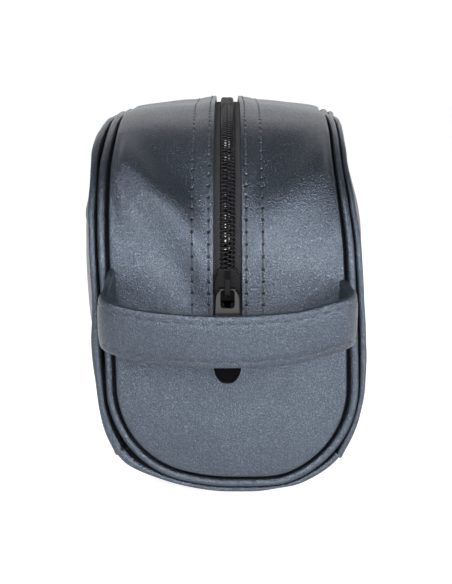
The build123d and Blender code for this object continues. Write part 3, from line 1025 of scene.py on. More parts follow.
def paint(piece: bpy.types.Object, material: bpy.types.Material) -> None:
    """Gives a piece its only material."""
    piece.data.materials.clear()
    piece.data.materials.append(material)


def dress(piece: bpy.types.Object, material: bpy.types.Material, body: str) -> None:
    """Gives a piece its material, and lets it ride on its body.

    Args:
        piece: The piece.
        material: Its finish.
        body: Name of the body.
    """
    paint(piece, material)
    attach(piece, body)


# Band


@dataclass(frozen=True)
class Fold:
    """Slanting ridge over the front shoulder, with a hollow below it where it has one."""

    start: float
    across: float
    slant: float
    spread: float
    ridge: Swell
    hollow: Swell = Swell(0.0, 0.0, 1.0)

    def at(self, x: float, over: float) -> float:
        """Height of the fold.

        Args:
            x: Place across the band.
            over: Distance along the band past the shoulder's start.

        Returns:
            Height over the even form.
        """
        off = (over - self.start - self.slant * (x - self.across)) / self.spread
        return self.ridge.at(off) + self.hollow.at(off)


@dataclass
class BandPanel:
    """Leather of the front end, the top and the back end, with the hemmed zipper slot."""

    rim_inner: float = 6.0
    spacing: float = 1.45
    end_rows: int = 20
    straight_lead: float = 14.0
    slot_columns: int = 5
    slot_fade: float = 4.0
    nose: float = 1.2
    nose_share: float = 0.35
    nose_steps: int = 5
    hem_back: float = 3.0
    edge_margin: float = 0.6
    lip: Swell = Swell(0.0, 0.35, 1.6)
    rim_steps: tuple = (5.0, 4.3, 3.7, 3.25, 2.95)
    tuck_steps: tuple = ((2.72, -1.6), (2.62, -0.3), (2.6, 1.2), (1.9, 2.3), (0.4, 2.6))
    stitch_rows: tuple = (6.9, 13.0)
    stitch_pitch: float = 4.2
    stitch_width: float = 0.8
    stitch_pull: float = -0.22
    swells: Waves = Waves(0.55, 46.0, 1.0)
    wrinkles: Waves = Waves(0.10, 13.0, 2.0)
    gathers: Waves = Waves(0.10, 7.0, 4.0)
    off_seam: Climb = Climb(1.0, 3.0, 12.0)
    off_rim: Climb = Climb(1.0, 1.4, 2.0)
    left_fold: Fold = Fold(18.0, -13.0, -1.2, 1.56, Swell(0.0, 1.9, 6.5), Swell(-13.0, -1.35, 7.0))
    right_fold: Fold = Fold(21.0, 12.5, 1.04, 1.44, Swell(0.0, 1.5, 8.5), Swell(-14.0, -0.3, 8.0))
    dent: Fold = Fold(44.0, 20.0, 0.55, 1.0, Swell(0.0, -2.2, 15.0))
    dent_end: Climb = Climb(1.0, -37.0, 15.0)
    beside_zipper: Climb = Climb(1.0, 5.6, 8.0)
    off_edge: Climb = Climb(1.0, -44.0, 6.0)
    above_front: Climb = Climb(1.0, -26.0, 20.0)
    lining_inner: float = 3.9
    lining_ends: float = 8.0
    lining_depth: float = 2.1
    lining_groove: float = 5.2
    lining_slot: float = 11.5
    lining_cloth: float = 0.4
    behind_tape: Climb = Climb(1.2, -15.5, 3.0)

    def across(self) -> list[float]:
        """Places of the columns, from the left rim to the right rim."""
        rim = FORM.half_width - self.rim_inner
        count = int(round((rim - FORM.slot_half) / self.spacing))
        right = [FORM.slot_half + (rim - FORM.slot_half) * i / count for i in range(count + 1)]
        inner = [FORM.slot_half * i / self.slot_columns for i in range(1, self.slot_columns)]
        half = inner + right
        return [-x for x in reversed(half)] + [0.0] + half

    def along(self) -> list[float]:
        """Places of the rows from the U patch's top at the front to its mirror at the back."""
        low = FORM.corner_radius + self.straight_lead
        high = FORM.whole_path - low
        count = int(round((high - low) / self.spacing))
        return [low + (high - low) * i / count for i in range(count + 1)]

    def end_patch(self, column: int, share: float, columns: list[float]) -> Vector:
        """Place in the U-shaped lower end, by column and share of the way up.

        Args:
            column: Index of the column.
            share: 0 on the U's bottom, 1 where the straight rows start.
            columns: Places of the columns.

        Returns:
            The place in the flat pattern.
        """
        rim = FORM.half_width - self.rim_inner
        radius = FORM.corner_radius - self.rim_inner
        top = FORM.corner_radius + self.straight_lead
        a = columns[column] / rim
        diagonal = radius * math.pi / 4
        reach = a * (FORM.corner_x + diagonal)
        if abs(reach) <= FORM.corner_x:
            bottom = Vector((reach, self.rim_inner, 0))
        else:
            turn = (abs(reach) - FORM.corner_x) / radius
            x = FORM.corner_x + radius * math.sin(turn)
            bottom = Vector((math.copysign(x, a), FORM.corner_radius - radius * math.cos(turn), 0))

        def side(t: float) -> Vector:
            """Right side of the patch, from the diagonal of the corner up."""
            way = t * (diagonal + self.straight_lead)
            if way < diagonal:
                turn = math.pi / 4 + way / radius
                x = FORM.corner_x + radius * math.sin(turn)
                return Vector((x, FORM.corner_radius - radius * math.cos(turn), 0))
            return Vector((rim, FORM.corner_radius + way - diagonal, 0))

        right = side(share)
        left = Vector((-right.x, right.y, 0))
        corner_r = side(0.0)
        corner_l = Vector((-corner_r.x, corner_r.y, 0))
        up = Vector((columns[column], top, 0))
        b = (a + 1) / 2
        ruled = bottom.lerp(up, share) + left.lerp(right, b)
        upper = Vector((-rim, top, 0)).lerp(Vector((rim, top, 0)), b)
        return ruled - corner_l.lerp(corner_r, b).lerp(upper, share)

    def height(self, x: float, s: float) -> float:
        """Height of the leather's face, with its soft swells and the pull of the stitches.

        Args:
            x: Place across the band.
            s: Place along the band.

        Returns:
            Height over the piping's line.
        """
        inner = FORM.seam_distance(x, s)
        away = self.off_seam.at(inner)
        p = Vector((x, s, 0))
        swell = self.swells.at(p) * away
        swell += self.shoulder_folds(x, s)
        wrinkles = self.wrinkles.at(p) * away
        slot_on = self.in_slot(s)
        lip = self.lip.at(abs(x) - FORM.slot_half) * slot_on
        rows = 0.0
        for row in self.stitch_rows:
            rows += Swell(row, 1.0, self.stitch_width).at(abs(x))
        pull = self.stitch_pull * rows * slot_on
        return FORM.crown_height(inner) + swell + wrinkles + lip + pull

    def shoulder_folds(self, x: float, s: float) -> float:
        """Soft dent on each side of the zipper over the front shoulder, and the full corners beside it.

        Args:
            x: Place across the band.
            s: Place along the band.

        Returns:
            Height over the even form.
        """
        out = abs(x)
        over = s - FORM.upright
        ridge = (self.left_fold if x < 0 else self.right_fold).at(x, over)
        dent = self.dent.at(out, over) * self.dent_end.at(-out)
        edges = self.beside_zipper.at(out) * self.off_edge.at(-out)
        return (ridge + dent) * edges * self.above_front.at(over)

    def in_slot(self, s: float) -> float:
        """1 beside the open slot, 0 below its ends."""
        s = min(s, FORM.whole_path - s)
        return ease((s - FORM.slot_start + self.slot_fade / 2) / self.slot_fade)

    def build(self) -> bpy.types.Object:
        """Models the panel flat, folds its slot edge and its rim, and lays it on the pouch."""
        columns = self.across()
        middle = self.along()
        rows = self.end_rows + len(middle) + self.end_rows

        def place(column: int, row: int) -> Vector:
            """Place of a crossing, in the front end, the straight rows or the back end."""
            if row < self.end_rows:
                return self.end_patch(column, row / self.end_rows, columns)
            if row >= self.end_rows + len(middle):
                p = self.end_patch(column, (rows - 1 - row) / self.end_rows, columns)
                return Vector((p.x, FORM.whole_path - p.y, 0))
            return Vector((columns[column], middle[row - self.end_rows], 0))

        bm = grid_mesh(len(columns), rows, place)
        self.cut_slot(bm, FORM.slot_half)
        for vertex in bm.verts:
            vertex.co.z = self.height(vertex.co.x, vertex.co.y)
        self.fold_slot(bm)
        self.fold_rim(bm)
        face_flat_up(bm)
        piece = finish_mesh(bm, "band_skin", FORM.wrap, levels=1, recalc=False)
        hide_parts("end_and_top_panel")
        return piece

    def cut_slot(self, bm: bmesh.types.BMesh, half: float) -> None:
        """Cuts the zipper's slot out of a flat sheet.

        Args:
            bm: The sheet.
            half: How far the slot reaches to each side.
        """
        faces = []
        for face in bm.faces:
            center = face.calc_center_median()
            along = FORM.slot_start < center.y < FORM.whole_path - FORM.slot_start
            if abs(center.x) < half - NEAR and along:
                faces.append(face)
        bmesh.ops.delete(bm, geom=faces, context="FACES")

    def lining(self) -> bpy.types.Object:
        """Models the lining behind the panel, cut back to the tapes' stitched edges."""
        columns, rows = 41, 190
        length = FORM.whole_path - 2 * self.lining_ends

        def place(column: int, row: int) -> Vector:
            """Place of a crossing, behind the leather and the tape."""
            s = self.lining_ends + length * row / (rows - 1)
            deep = FORM.corner_radius - min(s, FORM.whole_path - s)
            reach = FORM.half_width - self.lining_inner
            if deep > 0:
                reach = FORM.corner_x + math.sqrt((FORM.corner_radius - self.lining_inner) ** 2 - deep**2)
            x = reach * (2 * column / (columns - 1) - 1)
            face = FORM.crown_height(max(FORM.seam_distance(x, s), self.lining_groove)) - self.lining_depth
            face += min(self.shoulder_folds(x, s), 0.0)
            return Vector((x, s, face - self.behind_tape.at(-abs(x)) * self.in_slot(s)))

        bm = grid_mesh(columns, rows, place)
        self.cut_slot(bm, self.lining_slot)
        face_flat_up(bm)
        piece = finish_mesh(
            bm, "band_lining_skin", FORM.wrap, thickness=self.lining_cloth, recalc=False
        )
        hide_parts("end_and_top_lining")
        return piece

    def fold_slot(self, bm: bmesh.types.BMesh) -> None:
        """Turns the slot's edge under with a round nose.

        Args:
            bm: The flat panel.
        """
        low = FORM.slot_start - self.slot_fade / 2
        edges = open_edges(
            bm, lambda p: abs(p.x) < FORM.slot_half + NEAR and low < p.y < FORM.whole_path - low
        )
        along = [v.co.y for e in edges for v in e.verts]
        ends = (min(along), max(along))
        for step in range(1, self.nose_steps + 1):
            turn = math.pi * step / self.nose_steps
            last = math.pi * (step - 1) / self.nose_steps
            across = self.nose * (math.sin(turn) - math.sin(last))
            drop = self.nose * (math.cos(turn) - math.cos(last))
            edges, verts = extend(bm, edges)
            for vertex in verts:
                vertex.co -= self.slot_way(vertex.co, ends) * (across * self.nose_share)
                vertex.co.z += drop
        for vertex in extend(bm, edges)[1]:
            vertex.co += self.slot_way(vertex.co, ends) * self.hem_back

    def slot_way(self, p: Vector, ends: tuple[float, float]) -> Vector:
        """Way from the slot into the leather beside it.

        Args:
            p: Point of the slot's edge.
            ends: Where the slot starts and ends along the band.

        Returns:
            The way, towards a corner where the point is at one.
        """
        beside, near_end = 0.9, 0.6
        side = math.copysign(1.0, p.x) if abs(p.x) > FORM.slot_half - beside else 0.0
        along = -1.0 if p.y < ends[0] + near_end else 1.0 if p.y > ends[1] - near_end else 0.0
        return Vector((side, along, 0))

    def fold_rim(self, bm: bmesh.types.BMesh) -> None:
        """Rolls the panel's edge down into the groove beside the piping, and tucks it into the seam.

        Args:
            bm: The flat panel.
        """
        edges = open_edges(bm, lambda p: FORM.seam_distance(p.x, p.y) < self.rim_inner + self.edge_margin)
        for inner in self.rim_steps:
            edges, verts = extend(bm, edges)
            for vertex in verts:
                self.shift(vertex, inner)
                gathers = self.gathers.at(Vector((vertex.co.x, vertex.co.y, 0))) * self.off_rim.at(inner)
                vertex.co.z = FORM.crown_height(inner) + gathers
        for inner, depth in self.tuck_steps:
            edges, verts = extend(bm, edges)
            for vertex in verts:
                self.shift(vertex, inner)
                vertex.co.z = -depth

    def shift(self, vertex: bmesh.types.BMVert, inner: float) -> None:
        """Moves a point of the flat rim towards or away from the piping's line.

        Args:
            vertex: The point.
            inner: Its new distance inwards from the line.
        """
        way = FORM.inward(vertex.co.x, vertex.co.y)
        gap = FORM.seam_distance(vertex.co.x, vertex.co.y) - inner
        vertex.co.x -= way.x * gap
        vertex.co.y -= way.y * gap


# Piping


@dataclass
class Piping:
    """Round leather piping along the whole edge of the band."""

    step: float = 1.6
    sides: int = 14
    inner_step: float = 3.2
    inner_sides: int = 10
    creases: Waves = Waves(0.06, 5.0, 7.0)

    def build(self) -> bpy.types.Object:
        """Sweeps the piping round its closed path, with the small creases of a bent cover."""
        path = loop_path(0.0, self.step)

        def outline(row: int, turn: float) -> tuple[float, float]:
            """Round section, a little uneven."""
            radius = FORM.piping_radius + self.creases.at(Vector((path[row].x, path[row].y, turn * 2)))
            return radius * math.cos(turn), radius * math.sin(turn)

        piece = finish_mesh(self.sweep(path, outline, self.sides), "piping_skin", FORM.wrap, levels=1)
        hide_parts("piping_cover")
        return piece

    def inner_run(self, name: str, node: str, wide: float, tall: float, height: float) -> bpy.types.Object:
        """Cord or binding that runs with the piping inside the seam.

        Args:
            name: Name of the piece.
            node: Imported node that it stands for.
            wide: Half width of its oval section.
            tall: Half height of its section.
            height: Height of its middle over the piping's line.

        Returns:
            The piece.
        """
        path = [p + Vector((0, 0, height)) for p in loop_path(0.0, self.inner_step)]

        def oval(row: int, turn: float) -> tuple[float, float]:
            """Oval section, the same at every row."""
            return wide * math.cos(turn), tall * math.sin(turn)

        piece = finish_mesh(self.sweep(path, oval, self.inner_sides), name, FORM.wrap)
        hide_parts(node)
        return piece

    def sweep(self, path: list[Vector], outline: Callable, sides: int) -> bmesh.types.BMesh:
        """Closed tube along the seam.

        Args:
            path: Points of its middle line.
            outline: Gives the section's point from the path's index and the turn.
            sides: Faces round it.

        Returns:
            The tube.
        """
        up = [Vector((0, 0, 1))] * len(path)
        return tube(path, [self.inward(p) for p in path], up, outline, sides, True)

    def inward(self, p: Vector) -> Vector:
        """Way towards the band's middle, in the flat pattern.

        Args:
            p: Point of the piping's line.

        Returns:
            The way, of length 1.
        """
        s = min(max(p.y, FORM.corner_radius), FORM.whole_path - FORM.corner_radius)
        middle = Vector((min(max(p.x, -FORM.corner_x), FORM.corner_x), s, 0))
        return (middle - p).normalized()


# Side and bottom panels


class Hand(Enum):
    """Which side of the pouch, seen from the strap's end; the value is the sign of x."""

    LEFT = -1
    RIGHT = 1


@dataclass(frozen=True)
class Crease:
    """Crease, or ridge where its depth is positive, that runs from the shoulder's seam into a side."""

    place: float
    depth: float
    width: float
    lean: float
    reach: float = 26.0

    def at(self, y: float, z: float) -> float:
        """Height at a place of the wall.

        Args:
            y: Place along the pouch.
            z: Height over the table.

        Returns:
            Height over the even form.
        """
        point, out = FORM.spine(FORM.upright + self.place)
        along, up = -abs(y) - point.y, z - point.z
        across = along * out.z - up * out.y
        away = -(along * out.y + up * out.z)
        line = Swell(0.0, self.depth, self.width).at(across - self.lean * away)
        return line * Swell(0.0, 1.0, self.reach).at(away)


@dataclass(frozen=True)
class Side:
    """How full one side panel is, by the height over the table, and its creases.

    The ear is the swell under the top of the shoulder.
    """

    hand: Hand
    bulge: float
    swell: Climb
    low: Swell
    waist: Swell
    ear: Swell
    seed: float
    creases: tuple[Crease, ...]
    off_table: Climb = Climb(1.0, 1.0, 12.0)
    back_share: float = 0.7

    @property
    def name(self) -> str:
        """The side's name."""
        return self.hand.name.lower()

    def outward(self, z: float) -> float:
        """How far the side stands out along its whole rim, at a height over the table."""
        low = self.low.at(z) * self.off_table.at(z)
        return self.swell.at(z) + low + self.waist.at(z) + self.ear.at(z)

    def folds(self, y: float, z: float) -> float:
        """Height of the creases, which are weaker on the back half.

        Args:
            y: Place along the pouch.
            z: Height over the table.

        Returns:
            Height over the even form.
        """
        total = 0.0
        for crease in self.creases:
            total += crease.at(y, z)
        return total if y < 0 else total * self.back_share


LEFT = Side(
    hand=Hand.LEFT,
    bulge=8.0,
    swell=Climb(1.2, 24.0, 30.0),
    low=Swell(15.0, 3.9, 18.0),
    waist=Swell(54.0, 1.9, 15.0),
    ear=Swell(131.0, 1.5, 5.0),
    seed=21.0,
    creases=(Crease(8.0, -1.6, 4.0, 0.5), Crease(27.0, 1.6, 6.0, 0.2), Crease(46.0, -2.6, 4.0, 0.3)),
)
RIGHT = Side(
    hand=Hand.RIGHT,
    bulge=5.5,
    swell=Climb(0.9, 24.0, 30.0),
    low=Swell(15.0, 1.0, 18.0),
    waist=Swell(34.0, -0.7, 12.0),
    ear=Swell(131.0, 0.0, 5.0),
    seed=33.0,
    creases=(Crease(14.0, -1.0, 4.0, 0.4), Crease(40.0, -0.8, 5.0, -0.1)),
)


@dataclass
class BodyPanels:
    """Side panels and bottom panel, which wrap round the band as a trough."""

    spacing: float = 2.2
    rim_inner: float = 6.0
    edge_margin: float = 0.4
    seam_margin: float = 0.3
    seam_lift: float = 4.6
    seam_lip: float = 0.5
    seam_lip_width: float = 1.6
    tab: float = 0.8
    tab_width: float = 1.7
    tuck_steps: tuple = ((0.5, 0.35), (1.8, 0.1))
    bead_radius: float = 1.0
    bead_growth: float = 0.29
    bead_front: float = 1.0
    bead_lead: float = 2.0
    bead_turns: tuple = (-32, 0, 25, 50, 75, 100, 125, 150, 180, 200)
    bulge_half: float = 112.0
    bulge_power: float = 2.2
    bulge_rise: Climb = Climb(1.0, 18.0, 62.0)
    off_rim: Climb = Climb(1.0, -2.0, 46.0)
    slack: float = 0.9
    slack_scale: float = 38.0
    slack_rise: Climb = Climb(1.0, 0.0, 25.0)
    side_gathers: float = 0.22
    bottom_gathers: Waves = Waves(0.2, 9.0, 9.0)
    gathers_scale: float = 9.0
    bottom_swells: Waves = Waves(0.5, 30.0, 9.0)
    bottom_least: float = -0.4
    off_middle: Climb = Climb(1.0, 9.0, 14.0)
    end_fade: float = 20.0
    lining_depth: float = 1.7

    @property
    def corner_length(self) -> float:
        """Length of leather round a lower corner."""
        return (FORM.corner_radius + FORM.rise) * math.pi / 2

    @property
    def seam_q(self) -> float:
        """Where the side panel meets the bottom panel, a little over half way round the corner."""
        return FORM.corner_x + self.corner_length - self.curved

    @property
    def curved(self) -> float:
        """Length of the corner above the seam with the bottom panel."""
        return self.corner_length / 2 - self.seam_lift

    def wrap(self, p: Vector) -> Vector:
        """Lays a flat point onto the sagging pouch."""
        return FORM.slump(self.trough(p))

    def trough(self, p: Vector) -> Vector:
        """Lays a flat point onto the even trough.

        Args:
            p: Distance round the trough from its middle, place along the pouch, and height out.

        Returns:
            The place on the pouch.
        """
        q = abs(p.x)
        side = math.copysign(1.0, p.x)
        radius = FORM.corner_radius + FORM.rise
        if q < FORM.corner_x:
            return Vector((side * q, p.y, -p.z))
        if q < FORM.corner_x + self.corner_length:
            turn = (q - FORM.corner_x) / radius
            x = FORM.corner_x + (radius + p.z) * math.sin(turn)
            return Vector((side * x, p.y, FORM.corner_z - (radius + p.z) * math.cos(turn)))
        z = FORM.corner_z + q - FORM.corner_x - self.corner_length
        return Vector((side * (FORM.wall_x + p.z), p.y, z))

    def height_of(self, q: float) -> float:
        """Height over the table of a flat place on the trough's outer face."""
        return self.trough(Vector((q, 0, 0))).z

    def rim_at(self, q: float, y: float) -> tuple[float, float, float]:
        """How a flat place stands to the piping over it.

        Args:
            q: Distance round the trough from its middle.
            y: Place along the pouch.

        Returns:
            Distance inwards from the piping's line, and the outward way along y and z.
        """
        return FORM.rim_frame(y, max(self.height_of(q), FORM.corner_z))

    def rim(self, way: float, inner: float) -> Vector:
        """Flat place beside the front half of the rim.

        Args:
            way: Distance along the rim from the seam with the bottom panel.
            inner: Distance inwards from the piping's line.

        Returns:
            The flat place on the right side.
        """
        if way < self.curved:
            return Vector((self.seam_q + way, FORM.end_y + inner, 0))
        point, out = FORM.spine(FORM.corner_radius + way - self.curved)
        point = point - out * inner
        q = FORM.corner_x + self.corner_length + point.z - FORM.corner_z
        return Vector((q, point.y, 0))

    def fullness(self, side: Side, q: float, y: float) -> float:
        """How far the filled leather stands out of the flat wall.

        Args:
            side: The side.
            q: Distance round the trough from its middle.
            y: Place along the pouch.

        Returns:
            Height over the even wall.
        """
        z = self.height_of(q)
        dist, _, _ = self.rim_at(q, y)
        along = 1 - (abs(y) / self.bulge_half) ** self.bulge_power
        up = self.bulge_rise.at(z) * self.off_rim.at(dist)
        bulge = side.bulge * max(along, 0.0) * up
        near = side.outward(z) + Swell(self.seam_q, self.seam_lip, self.seam_lip_width).at(q)
        waves = Waves(self.slack, self.slack_scale, side.seed, 3)
        slack = waves.at(Vector((q, y, 0))) * self.slack_rise.at(dist)
        return bulge + near + slack + side.folds(y, z)

    def side_panel(self, side: Side) -> bpy.types.Object:
        """Models one side panel flat, rolls its rim beside the piping and wraps it.

        Args:
            side: The side.

        Returns:
            The panel.
        """
        inner = self.rim_inner
        start = self.curved + FORM.upright - FORM.corner_radius
        corner_way = start + (FORM.shoulder_radius - FORM.crown) * math.pi / 4
        half_way = self.curved + FORM.half_path - FORM.corner_radius
        columns = int(-2 * FORM.end_y / self.spacing)
        rows = int(corner_way / self.spacing)
        foot, corner = self.rim(0.0, inner), self.rim(corner_way, inner)

        def mirrored(p: Vector) -> Vector:
            """The same place at the back."""
            return Vector((p.x, -p.y, 0))

        def top(share: float) -> Vector:
            """Place on the rim over the top, by the share of the way from front to back."""
            way = corner_way + (half_way - corner_way) * (1 - abs(2 * share - 1))
            p = self.rim(way, inner)
            return p if share <= 0.5 else mirrored(p)

        def place(column: int, row: int) -> Vector:
            """Place of a crossing, ruled between the rim and the lower seam."""
            a, b = column / (columns - 1), row / (rows - 1)
            left = self.rim(corner_way * b, inner)
            low = foot.lerp(mirrored(foot), a)
            ruled = low.lerp(top(a), b) + left.lerp(mirrored(left), a)
            p = ruled - low.lerp(corner.lerp(mirrored(corner), a), b)
            p.z = self.fullness(side, p.x, p.y)
            return p

        self.side_lining(side, columns, rows, place)
        bm = grid_mesh(columns, rows, place)
        self.roll_rim(bm, side)
        self.tuck(bm, self.seam_q, -1)
        for vertex in bm.verts:
            vertex.co.x *= side.hand.value
        return self.skin(bm, f"{side.name}_side_skin", f"{side.name}_side_panel")

    def skin(self, bm: bmesh.types.BMesh, name: str, node: str) -> bpy.types.Object:
        """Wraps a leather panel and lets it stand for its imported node.

        Args:
            bm: The flat panel.
            name: Name of the piece.
            node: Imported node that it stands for.

        Returns:
            The piece.
        """
        piece = finish_mesh(bm, name, self.wrap, levels=1, recalc=False)
        orient(piece)
        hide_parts(node)
        return piece

    def lining(self, bm: bmesh.types.BMesh, name: str, node: str) -> None:
        """Wraps and dresses the lining behind a panel.

        Args:
            bm: The flat lining.
            name: Name of its side.
            node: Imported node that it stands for.
        """
        piece = finish_mesh(bm, f"{name}_lining_skin", self.wrap, recalc=False)
        orient(piece)
        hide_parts(node)
        dress(piece, LiningCloth(f"{name}_lining_cloth").material(), "bag")

    def side_lining(
        self, side: Side, columns: int, rows: int, place: Callable[[int, int], Vector]
    ) -> None:
        """Models the lining behind a side panel, from the panel's own places.

        Args:
            side: The side.
            columns: Crossings along the pouch.
            rows: Crossings up the panel.
            place: Gives the panel's place at a crossing.
        """
        fewer_columns, fewer_rows = columns // 2, rows // 2

        def behind(column: int, row: int) -> Vector:
            """Place of the panel's crossing nearest to one of the lining's."""
            across = round(column * (columns - 1) / (fewer_columns - 1))
            return place(across, round(row * (rows - 1) / (fewer_rows - 1)))

        bm = grid_mesh(fewer_columns, fewer_rows, behind)
        for vertex in bm.verts:
            vertex.co.x *= side.hand.value
            vertex.co.z -= self.lining_depth
        self.lining(bm, side.name, f"{side.name}_side_lining")

    def bead(self, full: float, turn_deg: int) -> tuple[float, float, float]:
        """Cross-section of the soft bead beside the piping.

        Args:
            full: How far the panel stands out there.
            turn_deg: How far round the bead, below 0 before it and over 180 past it.

        Returns:
            Distance inwards from the piping's line, the bead's radius, and the turn in radians.
        """
        radius = self.bead_radius + self.bead_growth * full
        turn = math.radians(min(max(turn_deg, 0), 180))
        inside = radius - self.bead_front - radius * math.sin(turn)
        if turn_deg < 0 or turn_deg > 180:
            inside = radius + self.bead_lead
        return inside, radius, turn

    def roll_rim(self, bm: bmesh.types.BMesh, side: Side) -> None:
        """Rolls a side panel's rim over towards the piping.

        Args:
            bm: The flat panel.
            side: The side.
        """
        edges = open_edges(bm, lambda p: self.rim_at(p.x, p.y)[0] <= self.rim_inner + self.edge_margin)
        gathers = Waves(self.side_gathers, self.gathers_scale, side.seed + 3)
        tab = Swell(self.seam_q, self.tab, self.tab_width)
        for turn_deg in self.bead_turns:
            edges, verts = extend(bm, edges)
            for vertex in verts:
                q, y = vertex.co.x, vertex.co.y
                dist, out_y, out_z = self.rim_at(q, y)
                full = side.outward(self.height_of(q))
                inside, radius, turn = self.bead(full, turn_deg)
                full += gathers.at(Vector((q, y, 0)))
                full += tab.at(q)
                move = dist - inside
                vertex.co.x = q + out_z * move
                vertex.co.y = y + out_y * move
                vertex.co.z = full - radius + radius * math.cos(turn)

    def tuck(self, bm: bmesh.types.BMesh, seam: float, way: int) -> None:
        """Turns the edge along the seam between a side and the bottom inwards.

        Args:
            bm: The flat panel.
            seam: Place of the seam round the trough.
            way: Sign of the way over the panel's edge.
        """
        edges = open_edges(bm, lambda p: abs(p.x - seam) < self.seam_margin)
        for drop, step in self.tuck_steps:
            edges, verts = extend(bm, edges)
            for vertex in verts:
                vertex.co.x += way * step
                vertex.co.z -= drop

    def bottom_panel(self) -> bpy.types.Object:
        """Models the bottom panel, with its rims at both ends and its side seams."""
        end = -FORM.end_y - self.rim_inner
        columns = int(2 * self.seam_q / self.spacing)
        rows = int(2 * end / self.spacing)

        def outward(q: float) -> float:
            """How far the panel stands out with the side that it meets."""
            return (LEFT if q < 0 else RIGHT).outward(self.height_of(abs(q)))

        def place(column: int, row: int) -> Vector:
            """Place of a crossing."""
            q = self.seam_q * (2 * column / (columns - 1) - 1)
            y = end * (2 * row / (rows - 1) - 1)
            soft = max(self.bottom_swells.at(Vector((q, y, 0))), self.bottom_least)
            soft *= self.off_middle.at(abs(q))
            return Vector((q, y, soft * ease((-FORM.end_y - abs(y)) / self.end_fade) + outward(q)))

        behind = Vector((0, 0, self.lining_depth))
        self.lining(grid_mesh(columns, rows, lambda c, r: place(c, r) - behind), "bottom", "bottom_lining")
        bm = grid_mesh(columns, rows, place)
        edges = open_edges(bm, lambda p: abs(p.y) > end - NEAR)
        for turn_deg in self.bead_turns:
            edges, verts = extend(bm, edges)
            for vertex in verts:
                full = outward(vertex.co.x)
                inside, radius, turn = self.bead(full, turn_deg)
                full += min(self.bottom_gathers.at(vertex.co), 0.0) * math.cos(turn)
                vertex.co.y = math.copysign(-FORM.end_y - inside, vertex.co.y)
                vertex.co.z = full - radius + radius * math.cos(turn)
        for way in (-1, 1):
            self.tuck(bm, way * self.seam_q, way)
        return self.skin(bm, "bottom_skin", "bottom_panel")


# Strap


